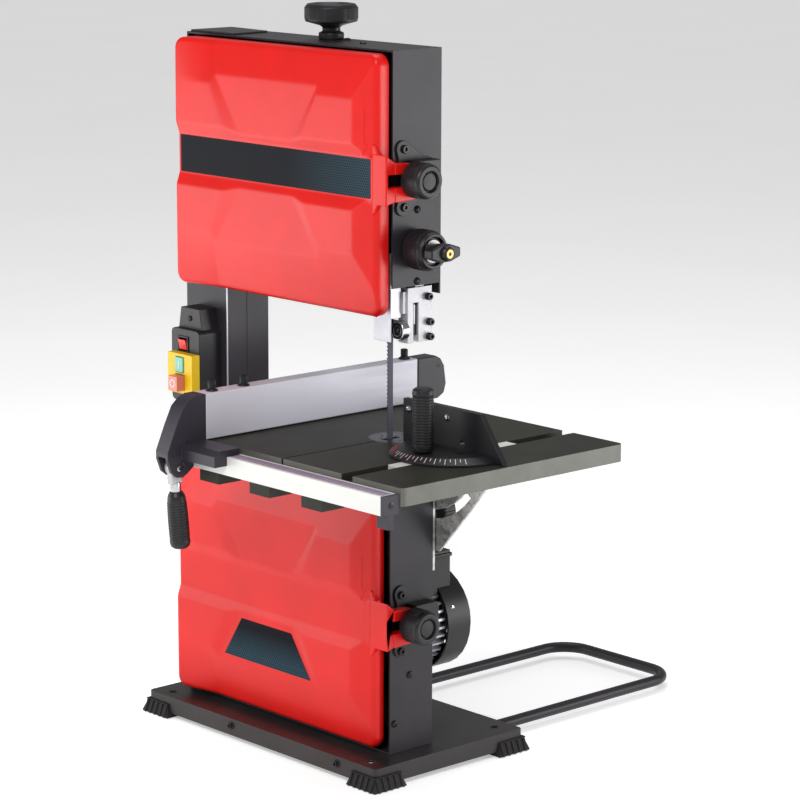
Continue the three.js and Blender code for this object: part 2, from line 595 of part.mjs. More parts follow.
function sawTable() {
  const slab = prism('z', TABLE_BOTTOM, TABLE.top,
    roundedRect(TABLE.left, TABLE.right, TABLE.front, TABLE.back, 6, 3));
  const seat = rod('z', TABLE.top - INSERT.thick - GAP, TABLE.top + 1, 0, INSERT.y, INSERT.radius + GAP, 28);
  const hole = rod('z', TABLE_BOTTOM - 1, TABLE.top, 0, INSERT.y, INSERT.hole, 24);
  const slit = box(-1.25, 1.25, TABLE.front - 1, INSERT.y - 20, TABLE_BOTTOM - 1, TABLE.top + 1);
  const groove = box(MITRE.x - MITRE.slot / 2, MITRE.x + MITRE.slot / 2, TABLE.front - 1,
    TABLE.back + 1, TABLE.top - MITRE.depth, TABLE.top + 1);
  const lugs = [-106, -28, 50].map((x) =>
    prism('x', x, x + 30, [[TABLE.front - 0.2, TABLE_BOTTOM + 2], [-122, TABLE_BOTTOM + 2],
      [-122, 321], [-132, 313], [-160, 313], [-160, RAIL.bottom - GAP],
      [TABLE.front - 0.2, RAIL.bottom - GAP]]));
  return cut(join(slab, ...lugs), seat, hole, slit, groove);
}

function tableInsert() {
  const disc = rod('z', TABLE.top - INSERT.thick, TABLE.top, 0, INSERT.y, INSERT.radius, 28);
  const slot = box(-INSERT.slot, INSERT.slot, -9, 12, TABLE.top - 5, TABLE.top + 1);
  return cut(disc, slot);
}

/** The folded plate under the table, with the arc slot that holds the tilt. */
function tableTrunnion() {
  const [y0, y1] = [TRUNNION.front, TRUNNION.front + TRUNNION.thick];
  const top = TABLE_BOTTOM - GAP;
  const plate = prism('y', y0, y1, [[-62, top], [-50, 262], [-25, 236], [22, 228], [67, 278], [112, top]]);
  const flange = box(-62, 112, y0, y0 + 26, top - 2, top);
  const { slotRadius: r, slotHalf: w, from, to } = TRUNNION;
  const slot = prism('y', y0 - 1, y1 + 1, [
    ...arc(0, TABLE.top, r - w, from - 90, to - 90, 10),
    ...arc(0, TABLE.top, r + w, to - 90, from - 90, 10)]);
  return cut(join(plate, flange), slot);
}

const LOCK = { pinAngle: -24, pin: 4 };

/** The plate on the back of the housing with the fixed guide pin of the tilt slot. */
function trunnionBracket() {
  const front = LOWER.back + GAP;
  const plate = box(-58, 18, front, 46.4, 208, 287);
  const pinX = TRUNNION.slotRadius * Math.sin(rad(LOCK.pinAngle));
  const pinZ = TABLE.top - TRUNNION.slotRadius * Math.cos(rad(LOCK.pinAngle));
  const pin = rod('y', 46, 56, pinX, pinZ, LOCK.pin, 12);
  const head = rod('y', 52, 56, pinX, pinZ, 8, 6);
  const bore = rod('y', 40, 50, 0, TABLE.top - TRUNNION.slotRadius, LOCK.pin + 0.5, 16);
  return cut(join(plate, pin, head), bore);
}

/** The clamping knob of the tilt, drawn about its screw. */
function tiltLockKnob() {
  return turned('y', [[0, 43.4], [LOCK.pin, 43.4], [LOCK.pin, 51.6], [9, 51.6], [9, 58], [19, 60],
    [19, 74], [16, 77], [0, 77]], 16);
}

function frontRail() {
  const { left, right, front, back, bottom, top } = RAIL;
  const bar = box(left, right, front, back - GAP, bottom, top);
  return cut(bar, box(left - 1, right + 1, front + SHEET, back - GAP - SHEET, bottom + SHEET, top - SHEET));
}

function railEndCap() {
  const { right, front, back, bottom, top } = RAIL;
  const plate = box(right + GAP, right + 4, front, back - GAP, bottom, top);
  const clip = box(right - 12, right + 1, front + 6, back - 7, bottom - 14, bottom - GAP);
  return join(plate, clip, box(right + GAP, right + 4, front + 6, back - 7, bottom - 14, bottom + 1));
}

const table = new THREE.Group();
root.add(table);
part(table, 'saw_table', sawTable(), TABLE_PAINT);
part(table, 'table_insert', tableInsert(), ALUMINIUM);
part(table, 'table_trunnion', tableTrunnion(), ZINC);
part(table, 'front_rail', frontRail(), ALUMINIUM);
part(table, 'rail_end_cap', railEndCap(), BLACK_PLASTIC);
part(frame, 'trunnion_bracket', trunnionBracket(), ZINC);
part(frame, 'tilt_lock_knob', tiltLockKnob(), BLACK_PLASTIC, [0, 0, TABLE.top - TRUNNION.slotRadius]);

// ---- rip fence ---------------------------------------------------------------------------
function fenceProfile() {
  const { left, right, front, back, bottom, top } = FENCE;
  const bar = box(left, right, front, back, bottom, top);
  return cut(bar, box(left + 2, right - 2, front - 1, back + 1, bottom + 2, top - 2));
}

/** The clamping head over the front rail, with the pointer block on its right. */
function fenceHead() {
  const { left, right, top } = FENCE;
  const back = FENCE.front - GAP;
  const railTop = RAIL.top + GAP;
  const outline = [[back, top], [-158, top], [-167, 394], [-175, 387], [-184, 369], [-195, 344],
    [-195, 336], [-190, 322.6], [-183, 317], [-176, 316.5], [-170, 320], [RAIL.front - GAP, 326],
    [RAIL.front - GAP, railTop], [back, railTop]];
  const head = prism('x', left, right, outline);
  const throat = box(-128.4, -117, -200, -166, 300, 338);
  const pinBore = rod('x', left - 1, right + 1, LEVER.y, LEVER.z, 3.5, 12);
  const pointer = prism('x', right - 1, -60, [[-178, 346], [-172, 351], [-146.1, 351], [-146.1, railTop],
    [RAIL.front - GAP, railTop], [RAIL.front - GAP, 335], [-178, 335]]);
  return join(cut(head, throat, pinBore), pointer);
}

/** The cam lever that clamps the fence, drawn about its pivot and hanging down. */
function fenceLever() {
  const cam = rod('x', -5.4, 5.4, 0, 0, 8, 16);
  const pin = rod('x', -9.4, 9.4, 0, 0, 3, 12);
  const yoke = box(-4.5, 4.5, -6.5, 6.5, -17, 0);
  const grip = turned('z', [[0, -84], [7, -84], [10, -81], [10.6, -76], [9.6, -30], [7.5, -26],
    [5.5, -24.5], [5.5, -16], [0, -16]], 16);
  return join(cam, pin, yoke, grip).rotate([LEVER.lean, 0, 0]);
}

function fenceRearCap() {
  const { left, right, back, bottom, top } = FENCE;
  const outline = [[back + GAP, bottom], [172, bottom], [181, 356], [184, 366], [181, 386], [176, 394],
    [169, top], [back + GAP, top]];
  const cap = prism('x', left, right, outline);
  const hook = box(-127, -118, TABLE.back + 1, TABLE.back + 7, TABLE.top - 22, bottom + 1);
  return join(cap, hook);
}

const fence = new THREE.Group();
table.add(fence);
part(fence, 'fence_profile', fenceProfile(), ALUMINIUM);
part(fence, 'fence_head', fenceHead(), BLACK_PLASTIC);
part(fence, 'fence_lever', fenceLever(), CHROME, [(FENCE.left + FENCE.right) / 2, LEVER.y, LEVER.z]);
part(fence, 'fence_rear_cap', fenceRearCap(), BLACK_PLASTIC);

// ---- mitre gauge -------------------------------------------------------------------------
/** The bar in the table slot, with the pivot pin of the gauge. */
function mitreBar() {
  const half = MITRE.slot / 2 - 0.4;
  const bar = box(-half, half, -78, 82, TABLE.top - 7.6, TABLE.top - 0.1);
  const pin = rod('z', TABLE.top - 1, TABLE.top + 5, 0, 0, 3.5, 16);
  return join(bar, pin);
}

/** The protractor base and its upright face, drawn about the pivot. */
function mitreHead() {
  const z = TABLE.top + 0.5;
  const base0 = prism('z', z, z + 7, [...arc(0, 0, MITRE.radius, 180, 360, 20), [MITRE.radius, 4],
    [-MITRE.radius, 4]]);
  const face = prism('y', -2, 4, [[-69, z], [75, z], [42, z + 46], [-69, z + 46]]);
  const pinBore = rod('z', z - 1, z + 5, 0, 0, 4, 16);
  const slot = prism('z', z - 1, z + 8, [
    ...arc(0, 0, 35.5, 215, 325, 8), ...arc(0, 0, 42.5, 325, 215, 8)]);
  return cut(join(base0, face), pinBore, slot);
}

/** The locking handle, drawn about its own axis. */
function mitreHandle() {
  const z = TABLE.top;
  return turned('z', [[0, z + 0.6], [3, z + 0.6], [3, z + 7.9], [8, z + 7.9], [10.5, z + 12],
    [10.5, z + 66], [8.5, z + 71], [0, z + 72]], 18);
}

const mitre = new THREE.Group();
mitre.position.set(MITRE.x, MITRE.pivotY, 0);
table.add(mitre);
part(mitre, 'mitre_bar', mitreBar(), ALUMINIUM);
part(mitre, 'mitre_head', mitreHead(), BLACK_PLASTIC);
part(mitre, 'mitre_handle', mitreHandle(), BLACK_PLASTIC, [0, MITRE.handleY - MITRE.pivotY, 0]);

// ---- upper blade guide -------------------------------------------------------------------
const BLOCK = { left: 2, right: 16, front: 9.4, back: 42, bottom: 447.5, top: 503.5 };

function guidePost() {
  const { postX: x, postY: y, post } = GUIDE;
  return box(x, x + post, y, y + post, BLOCK.top + GAP, BLOCK.top + 162);
}

/** The forked guide block with the crossbar that carries the side rollers. */
function guideBlock() {
  const { left, right, front, back, bottom, top } = BLOCK;
  const fork = cut(box(left, right, front, back, bottom, top),
    box(left - 1, right + 1, 17, 24, bottom - 1, 488));
  const crossbar = box(-20, left + 2, 9, 16.4, GUIDE.rollerZ - 7, GUIDE.rollerZ + 7);
  const cheek = box(left, right - 2, 5, 10, 478, 500);
  return join(fork, crossbar, cheek);
}

/** The folded guard round the front of the blade. */
function bladeGuard() {
  const z = GUIDE.bottom;
  const web = box(-14, 11, -9.2, -8, z, 540);
  const leftSide = box(-14, -12.8, -9, 4, 474, 540);
  const rightSide = box(9.8, 11, -9, 4.7, 474, 540);
  return join(web, leftSide, rightSide);
}

/** A ball bearing as one solid, drawn about its own axis. */
function roller(axis, radius, width) {
  const half = width / 2;
  return turned(axis, [[0, -half], [radius - 0.8, -half], [radius, -half + 0.8],
    [radius, half - 0.8], [radius - 0.8, half], [0, half]], 16);
}

/** The ribbed height knob with its hollow pinion shaft, drawn about the shaft. */
function heightKnob() {
  const r = HEIGHT_KNOB.radius;
  return turned('x', [[3.4, 1], [5.8, 1], [5.8, 24], [r - 2, 24], [r, 27], [r, 47], [r - 3, 50],
    [3.4, 50], [3.4, 1]], 24);
}

/** The wing screw that clamps the guide post, drawn about its screw. */
function guideClampKnob() {
  const hub = turned('x', [[0, 0.5], [2.8, 0.5], [2.8, 51], [8, 51], [8, 70], [6, 72], [0, 72]], 14);
  const wings = prism('x', 54, 66, [
    ...arc(15, 0, 6, -70, 70, 4), ...arc(0, 0, 9, 60, 120, 2),
    ...arc(-15, 0, 6, 110, 250, 4), ...arc(0, 0, 9, 240, 300, 2)]);
  return join(hub, wings);
}

const guide = new THREE.Group();
root.add(guide);
const rollerX = BLADE.thick / 2 + 0.5 + GUIDE.roller;
part(guide, 'guide_post', guidePost(), STEEL);
part(guide, 'guide_block', guideBlock(), ALUMINIUM);
part(guide, 'blade_guard', bladeGuard(), ALUMINIUM);
part(guide, 'guide_roller_right', roller('y', GUIDE.roller, 9), CHROME, [rollerX, 4, GUIDE.rollerZ]);
part(guide, 'guide_roller_left', roller('y', GUIDE.roller, 9), CHROME, [-rollerX, 4, GUIDE.rollerZ]);
part(guide, 'thrust_roller', roller('x', 8, 6), CHROME, [-2, 12.6, 489]);
part(guide, 'height_knob', heightKnob(), BLACK_PLASTIC, [0, HEIGHT_KNOB.y, HEIGHT_KNOB.z]);
part(guide, 'guide_clamp_knob', guideClampKnob(), BLACK_PLASTIC, [0, HEIGHT_KNOB.y, HEIGHT_KNOB.z]);

// ---- switch ------------------------------------------------------------------------------
const ROCKER = { x: -276.5, z: 413.5, half: 6 };
const START = { x: -269.5, z: 394, halfX: 6.5, halfZ: 8 };
const STOP = { x: -269.5, z: 375, halfX: 7.5, halfZ: 8 };

/** The switch body with its bracket on the column, and pockets for the moving pieces. */
function switchBox() {
  const { left, right, front, bottom, top } = SWITCH;
  const back = COLUMN.front - GAP;
  const body = prism('y', front, back, roundedRect(left, right, bottom, top, 5, 3));
  const hood = prism('y', -38, back, [[left + 3, top - 6], [right - 3, top - 6], [right - 8, 452],
    [left + 8, 452]]);
  const rockerWell = box(ROCKER.x - 7, ROCKER.x + 7, front - 1, front + 10, ROCKER.z - 7, ROCKER.z + 7);
  const wells = [START, STOP].map((b) => box(b.x - b.halfX - 0.4, b.x + b.halfX + 0.4, front - 1,
    front + 12, b.z - b.halfZ - 0.4, b.z + b.halfZ + 0.4));
  return cut(join(body, hood), rockerWell, ...wells);
}

function switchCover() {
  const plate = box(-290, -249, -56, SWITCH.front - GAP, 363, 405.5);
  const wells = [START, STOP].map((b) => box(b.x - b.halfX - 0.4, b.x + b.halfX + 0.4, -60,
    SWITCH.front + 1, b.z - b.halfZ - 0.4, b.z + b.halfZ + 0.4));
  return cut(plate, ...wells);
}

/** A rocker with two sloped halves, drawn about its pivot. */
function rocker() {
  const h = ROCKER.half;
  return prism('x', -h, h, [[-4, h - 0.4], [-2.2, 0], [-1.4, -h + 0.4], [4, -h + 2], [4, h - 2]]);
}

function pushButton(b, front, back) {
  return box(-b.halfX, b.halfX, front, back, -b.halfZ, b.halfZ);
}

const panel = new THREE.Group();
root.add(panel);
part(panel, 'switch_box', switchBox(), BLACK_PLASTIC);
part(panel, 'switch_cover', switchCover(), YELLOW);
part(panel, 'rocker_switch', rocker(), STOP_RED, [ROCKER.x, SWITCH.front + 0.5, ROCKER.z]);
part(panel, 'start_button', pushButton(START, -57.5, -38), GREEN, [START.x, 0, START.z]);
part(panel, 'stop_button', pushButton(STOP, -66, -38), STOP_RED, [STOP.x, 0, STOP.z]);

// The origin is the middle of the outline on the floor.
const bounds = new THREE.Box3().setFromObject(root);
const middle = bounds.getCenter(new THREE.Vector3());
const saw = new THREE.Group();
root.position.set(-middle.x, -middle.y, -bounds.min.z);
saw.add(root);

export default saw;
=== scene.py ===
"""Looks of the bench band saw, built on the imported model. Lengths are given in millimetres from
the middle of the blade on the floor, +Z up, the operator at -Y, and turned into the row frame."""

import json
import math

import bmesh
import bpy
import numpy as np
from mathutils import Matrix, Vector

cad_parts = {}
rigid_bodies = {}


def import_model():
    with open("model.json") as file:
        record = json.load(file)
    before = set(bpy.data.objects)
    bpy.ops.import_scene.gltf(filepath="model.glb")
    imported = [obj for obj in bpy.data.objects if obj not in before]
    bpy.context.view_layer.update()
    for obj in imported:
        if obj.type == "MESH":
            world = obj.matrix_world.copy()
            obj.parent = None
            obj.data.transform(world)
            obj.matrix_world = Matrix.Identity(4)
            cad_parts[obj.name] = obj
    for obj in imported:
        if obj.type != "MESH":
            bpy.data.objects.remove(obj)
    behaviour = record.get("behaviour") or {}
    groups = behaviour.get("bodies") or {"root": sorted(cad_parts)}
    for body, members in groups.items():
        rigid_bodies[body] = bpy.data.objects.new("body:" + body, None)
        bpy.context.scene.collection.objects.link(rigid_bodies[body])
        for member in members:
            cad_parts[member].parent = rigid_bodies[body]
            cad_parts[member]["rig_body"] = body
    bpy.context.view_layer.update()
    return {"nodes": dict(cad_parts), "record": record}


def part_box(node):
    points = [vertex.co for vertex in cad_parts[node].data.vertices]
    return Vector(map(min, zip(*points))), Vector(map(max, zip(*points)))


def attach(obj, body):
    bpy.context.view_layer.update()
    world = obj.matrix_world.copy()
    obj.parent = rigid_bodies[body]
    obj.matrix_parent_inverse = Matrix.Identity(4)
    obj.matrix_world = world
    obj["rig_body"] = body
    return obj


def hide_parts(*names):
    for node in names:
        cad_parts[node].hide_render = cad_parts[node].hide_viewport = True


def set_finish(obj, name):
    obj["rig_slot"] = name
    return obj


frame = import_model()
NODES = frame["nodes"]
BODY_OF = {n: b for b, ns in frame["record"]["behaviour"]["bodies"].items() for n in ns}
SLOT_OF = {s["node"]: s["material_slot"] for s in frame["record"]["subparts"]}

# The blade's right side is 0.35 mm right of the drawing axis, and its middle is on it.
blade_low, blade_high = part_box("saw_blade")
ORIGIN = Vector((blade_high.x - 0.00035, (blade_low.y + blade_high.y) / 2, 0))
TO_ROW = Matrix.Translation(ORIGIN) @ Matrix.Scale(0.001, 4)


# ---- materials ----
class Nodes:
    """A small helper that wires one material's nodes."""

    def __init__(self, name):
        self.material = bpy.data.materials.new(name)
        self.material.use_nodes = True
        self.tree = self.material.node_tree
        self.shader = self.tree.nodes["Principled BSDF"]
        self.position = self.tree.nodes.new("ShaderNodeTexCoord").outputs["Object"]

    def add(self, kind, inputs=(), **settings):
        node = self.tree.nodes.new("ShaderNode" + kind)
        for key, value in settings.items():
            setattr(node, key, value)
        for key, value in dict(inputs).items():
            if isinstance(value, bpy.types.NodeSocket):
                self.tree.links.new(value, node.inputs[key])
            else:
                node.inputs[key].default_value = value
        return node

    def link(self, output, socket):
        self.tree.links.new(output, self.shader.inputs[socket])

    def set(self, **values):
        for key, value in values.items():
            self.shader.inputs[key.replace("_", " ")].default_value = value

    def scaled(self, factors):
        return self.add("Mapping", {"Vector": self.position, "Scale": factors}).outputs[0]

    def noise(self, scale, detail=4.0, rough=0.55, vector=None):
        inputs = {"Vector": vector or self.position, "Scale": scale, "Detail": detail}
        inputs["Roughness"] = rough
        return self.add("TexNoise", inputs).outputs["Fac"]

    def ramp(self, factor, low, high, start=0.35, end=0.65):
        node = self.add("ValToRGB", {"Fac": factor})
        stops = node.color_ramp.elements
        stops[0].position, stops[1].position = start, end
        stops[0].color, stops[1].color = (*low, 1), (*high, 1)
        return node.outputs["Color"]

    def rough(self, factor, low, high):
        node = self.add("MapRange", {"Value": factor, "From Min": 0.3, "From Max": 0.7,
                                     "To Min": low, "To Max": high})
        self.link(node.outputs["Result"], "Roughness")

    def bump(self, height, distance, strength=1.0, under=None):
        inputs = {"Height": height, "Distance": distance, "Strength": strength}
        if under:
            inputs["Normal"] = under
        return self.add("Bump", inputs).outputs["Normal"]

    def calculate(self, operation, *values):
        return self.add("Math", dict(enumerate(values)), operation=operation).outputs[0]

    def mix(self, factor, a, b):
        node = self.add("Mix", data_type="RGBA")
        for socket, value in ((0, factor), (6, a), (7, b)):
            if isinstance(value, bpy.types.NodeSocket):
                self.tree.links.new(value, node.inputs[socket])
            else:
                node.inputs[socket].default_value = value
        return node.outputs[2]


def surface(name, colour, roughness, metallic=0.0, vary=0.12, grain=(900, 3e-5), patches=18,
            coat=0.0, stretch=None, specular=0.5):
    """A coated, moulded or machined surface: patchy colour, uneven gloss and a fine grain."""
    n = Nodes(name)
    place = n.scaled(stretch) if stretch else n.position
    cloud = n.noise(patches, 5, vector=place)
    low = tuple(c * (1 - vary) for c in colour)
    high = tuple(min(1, c * (1 + vary)) for c in colour)
    tint = n.ramp(cloud, low, high)
    n.link(tint, "Base Color")
    fine = n.noise(grain[0], 3, vector=place)
    n.rough(fine, roughness * 0.88, min(1, roughness * 1.14))
    under = n.bump(cloud, grain[1] * 2, 0.35)
    n.link(n.bump(fine, grain[1], 0.6, under), "Normal")
    n.set(Metallic=metallic, Coat_Weight=coat, Coat_Roughness=0.18, Specular_IOR_Level=specular)
    return n.material


def galvanised():
    """Zinc crystals: cells of slightly different grey and gloss, with small dark specks."""
    n = Nodes("galvanised")
    cells = n.add("TexVoronoi", {"Vector": n.position, "Scale": 190.0})
    grey = n.add("SeparateColor", {"Color": cells.outputs["Color"]}).outputs[0]
    tint = n.ramp(grey, (0.36, 0.36, 0.35), (0.62, 0.62, 0.60), 0.1, 0.9)
    specks = n.add("MapRange", {"Value": n.noise(420, 5), "From Min": 0.6, "From Max": 0.7})
    n.link(n.mix(specks.outputs[0], tint, (0.22, 0.22, 0.21, 1)), "Base Color")
    n.rough(grey, 0.38, 0.62)
    n.link(n.bump(n.noise(300, 4), 4e-5, 0.5), "Normal")
    n.set(Metallic=0.65)
    return n.material


def label(name, fade_axis, low, high):
    """Near-black foil with staggered rows of small lighter dots that fade out along an axis."""
    n = Nodes(name)
    axes = n.add("SeparateXYZ", {"Vector": n.position}).outputs
    pitch, row_height = 0.0032, 0.0032 * 0.8
    rows = n.calculate("DIVIDE", axes["Z"], row_height)
    odd = n.calculate("FLOORED_MODULO", n.calculate("FLOOR", rows), 2.0)
    shift = n.calculate("MULTIPLY", odd, 0.5)
    column = n.calculate("ADD", n.calculate("DIVIDE", axes["X"], pitch), shift)
    parts = [n.calculate("SUBTRACT", n.calculate("FRACT", value), 0.5) for value in (column, rows)]
    spot = n.add("CombineXYZ", {0: parts[0], 1: parts[1]}).outputs[0]
    reach = n.add("VectorMath", {0: spot}, operation="LENGTH").outputs["Value"]
    ring = n.add("MapRange", {"Value": reach, "From Min": 0.3, "From Max": 0.38}).outputs[0]
    fade = n.add("MapRange", {"Value": axes[fade_axis], "From Min": low, "From Max": high}).outputs[0]
    amount = n.calculate("MULTIPLY", ring, fade)
    n.link(n.mix(amount, (0.0025, 0.003, 0.006, 1), (0.022, 0.060, 0.085, 1)), "Base Color")
    n.rough(n.noise(500, 3), 0.30, 0.38)
    n.link(n.bump(amount, 3e-5, 0.4), "Normal")
    n.set(Specular_IOR_Level=0.06)
    return n.material


M = {
    "red": surface("red_shell", (0.66, 0.0070, 0.0045), 0.32, vary=0.05, grain=(700, 3e-5),
            specular=0.30),
    "black_sheet": surface("black_powder_coat", (0.021, 0.018, 0.023), 0.40, vary=0.18,
            grain=(1500, 6e-5), specular=0.3),
    "pan": surface("pan_powder_coat", (0.022, 0.019, 0.019), 0.36, vary=0.2,
            grain=(1500, 6e-5), specular=0.35),
    "black": surface("black_moulding", (0.013, 0.012, 0.014), 0.40, vary=0.2, grain=(1100, 4e-5),
            specular=0.35),
    "violet_black": surface("dark_moulding", (0.026, 0.022, 0.032), 0.42, vary=0.15,
            grain=(1100, 4e-5), specular=0.35),
    "rubber": surface("rubber", (0.020, 0.0185, 0.0185), 0.70, vary=0.2, grain=(600, 0.0001),
            specular=0.25),
    "aluminium": surface("satin_aluminium", (0.48, 0.47, 0.51), 0.38, 0.45, vary=0.05,
            grain=(500, 1e-5), stretch=(1, 0.04, 1)),
    "fence": surface("anodised_fence", (0.62, 0.61, 0.68), 0.42, 0.2, vary=0.05,
            grain=(420, 1e-5), patches=5, stretch=(1, 0.03, 1), specular=0.3),
    "white": surface("white_rail", (0.70, 0.71, 0.68), 0.42, 0.1, vary=0.04,
            grain=(500, 1e-5), patches=6, stretch=(0.05, 1, 1), specular=0.3),
    "block": surface("die_cast_guide", (0.44, 0.44, 0.46), 0.42, 0.35, grain=(900, 6e-5)),
    "cast": surface("cast_aluminium", (0.45, 0.45, 0.46), 0.5, 0.85, grain=(420, 0.0002)),
    "steel": surface("machined_steel", (0.27, 0.26, 0.265), 0.36, 0.8, vary=0.1, grain=(700, 2e-5),
            stretch=(1, 1, 0.1)),
    "blade": surface("band_steel", (0.040, 0.038, 0.062), 0.48, 0.2, vary=0.2, grain=(900, 2e-5),
            stretch=(1, 1, 0.1)),
    "insert": surface("insert_plate", (0.05, 0.052, 0.06), 0.34, 0.6, vary=0.15),
    "chrome": surface("chrome", (0.50, 0.50, 0.52), 0.16, 1.0, vary=0.03, grain=(300, 4e-6)),
    "screw": surface("black_screw", (0.008, 0.009, 0.009), 0.30, vary=0.2, specular=0.3),
    "brass": surface("brass", (0.50, 0.30, 0.09), 0.3, 0.7, vary=0.08, grain=(800, 2e-5)),
    "table": surface("table_coat", (0.026, 0.027, 0.021), 0.46, vary=0.14, grain=(1600, 6e-5),
            patches=26, specular=0.12),
    # the table's lighter edge colour, also laid on the top bevel faces as a painted highlight
    "table_side_and_painted_highlight": surface("table_edge_and_painted_highlight", (0.125, 0.125, 0.11), 0.42, 0.3, vary=0.08,
            grain=(1300, 0.00012), patches=40, specular=0.35),
    "yellow": surface("yellow_moulding", (0.74, 0.48, 0.0), 0.34, vary=0.06, grain=(900, 2e-5),
            specular=0.35),
    "green": surface("green_button", (0.12, 0.46, 0.33), 0.32, vary=0.05, grain=(900, 2e-5), coat=0.3),
    "stop": surface("stop_button", (0.62, 0.17, 0.12), 0.32, vary=0.06, grain=(900, 2e-5), coat=0.3),
    "rocker": surface("rocker_red", (0.72, 0.02, 0.01), 0.25, vary=0.06, grain=(900, 1e-5), coat=0.4),
    "violet_scale": surface("rail_scale", (0.26, 0.20, 0.31), 0.45, grain=(700, 2e-5)),
    "print": surface("white_print", (0.66, 0.66, 0.66), 0.5, vary=0.06, grain=(900, 1e-5)),
    "red_print": surface("red_print", (0.50, 0.025, 0.02), 0.5, vary=0.06, grain=(900, 1e-5)),
    "zinc": galvanised(),
    "stripe": label("door_stripe_foil", "X", ORIGIN.x - 0.115, ORIGIN.x + 0.02),
    "badge": label("door_badge_foil", "Z", 0.120, 0.092),
}


# ---- mesh helpers ----
def place(name, data):
    item = bpy.data.objects.new(name, data)
    bpy.context.scene.collection.objects.link(item)
    return item


def shade(mesh, angle):
    mesh.shade_smooth()
    mesh.set_sharp_from_angle(angle=math.radians(angle))


def finish_piece(name, bm, material, body, slot=None, angle=35, scaled=True, tilt=None,
                 outward=True):
    """Makes the object, places it in the row frame, shades it and rides it on its body."""
    if outward:
        bmesh.ops.recalc_face_normals(bm, faces=bm.faces)
    if tilt:
        centre, direction, degrees = tilt
        bmesh.ops.rotate(bm, cent=centre, verts=bm.verts,
                         matrix=Matrix.Rotation(math.radians(degrees), 3, direction))
    mesh = bpy.data.meshes.new(name)
    bm.to_mesh(mesh)
    bm.free()
    if scaled:
        mesh.transform(TO_ROW)
    mesh.materials.append(M[material])
    piece = place(name, mesh)
    shade(mesh, angle)
    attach(piece, body)
    if slot:
        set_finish(piece, slot)
    return piece


def apply_modifiers(piece):
    graph = bpy.context.evaluated_depsgraph_get()
    mesh = bpy.data.meshes.new_from_object(piece.evaluated_get(graph))
    piece.modifiers.clear()
    piece.data = mesh
    return piece


def cut_away(piece, tool):
    """Takes the tool's volume out of the piece."""
    cut = piece.modifiers.new("cut", "BOOLEAN")
    cut.operation, cut.object, cut.solver = "DIFFERENCE", tool, "EXACT"
    apply_modifiers(piece)
    bpy.data.objects.remove(tool)


def round_edges(piece, width, segments=2, angle=30):
    """Breaks the edges with a small radius, width in millimetres."""
    bevel = piece.modifiers.new("edges", "BEVEL")
    bevel.width = width * 0.001
    bevel.segments = segments
    bevel.limit_method = "ANGLE"
    bevel.angle_limit = math.radians(angle)
    bevel.use_clamp_overlap = True
    apply_modifiers(piece)
    shade(piece.data, 60)
    flat = piece.modifiers.new("flat", "WEIGHTED_NORMAL")
    flat.weight = 100
    flat.keep_sharp = True
    return apply_modifiers(piece)


def softened(node, material, width=0.8, segments=2):
    """The CAD node with its flat faces merged and its edges rounded."""
    bm = bmesh.new()
    bm.from_mesh(NODES[node].data)
    bmesh.ops.remove_doubles(bm, verts=bm.verts, dist=1e-6)
    bmesh.ops.dissolve_limit(bm, angle_limit=math.radians(0.5), verts=bm.verts, edges=bm.edges)
    piece = finish_piece(node + "_look", bm, material, BODY_OF[node], SLOT_OF[node], scaled=False)
    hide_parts(node)
    return round_edges(piece, width, segments)


AXES = {"x": ((0, 1, 0), (0, 0, 1), (1, 0, 0)), "y": ((1, 0, 0), (0, 0, 1), (0, 1, 0)),
        "z": ((1, 0, 0), (0, 1, 0), (0, 0, 1))}


def along(axis, a, b, c):
    """A point from two coordinates across an axis and one along it."""
    u, v, w = AXES[axis]
    return Vector(u) * a + Vector(v) * b + Vector(w) * c


def bridge(bm, lower, upper, closed=True):
    """Faces between two rings of vertices. A ring of one vertex is a pole."""
    count = max(len(lower), len(upper))
    if count == 1:
        return
    for i in range(count if closed else count - 1):
        j = (i + 1) % count
        if len(lower) == 1:
            bm.faces.new((lower[0], upper[j], upper[i]))
        elif len(upper) == 1:
            bm.faces.new((lower[i], lower[j], upper[0]))
        else:
            bm.faces.new((lower[i], lower[j], upper[j], upper[i]))


def fill_sweep(bm, rings):
    """Joins the rings of a sweep in order and closes both ends."""
    for lower, upper in zip(rings, rings[1:]):
        bridge(bm, lower, upper)
    bm.faces.new(rings[0][::-1])
    bm.faces.new(rings[-1])


def prism(name, axis, low, high, outline, material, body, slot=None, bevel=0.5, segments=2,
          tilt=None):
    bm = bmesh.new()
    rings = [[bm.verts.new(along(axis, a, b, c)) for a, b in outline] for c in (low, high)]
    bm.faces.new(rings[0][::-1])
    bm.faces.new(rings[1])
    bridge(bm, *rings)
    piece = finish_piece(name, bm, material, body, slot, tilt=tilt)
    return round_edges(piece, bevel, segments) if bevel else piece


def block(name, x, y, z, material, body, slot=None, bevel=0.5, segments=2, tilt=None):
    outline = [(x[0], y[0]), (x[1], y[0]), (x[1], y[1]), (x[0], y[1])]
    return prism(name, "z", z[0], z[1], outline, material, body, slot, bevel, segments, tilt)


def arc(a, b, radius, start, end, steps):
    return [(a + radius * math.cos(math.radians(start + (end - start) * i / steps)),
             b + radius * math.sin(math.radians(start + (end - start) * i / steps)))
            for i in range(steps + 1)]


def smooth_profile(profile, radius=0.6, steps=3):
    """Rounds the corners of an open profile."""
    points = [Vector(p) for p in profile]
    out = [points[0]]
    for before, corner, after in zip(points, points[1:], points[2:]):
        reach = min(radius, (corner - before).length / 2.2, (after - corner).length / 2.2)
        start = corner + (before - corner).normalized() * reach
        end = corner + (after - corner).normalized() * reach
        for i in range(steps + 1):
            t = i / steps
            out.append(start * (1 - t) ** 2 + corner * 2 * t * (1 - t) + end * t * t)
    return out + [points[-1]]


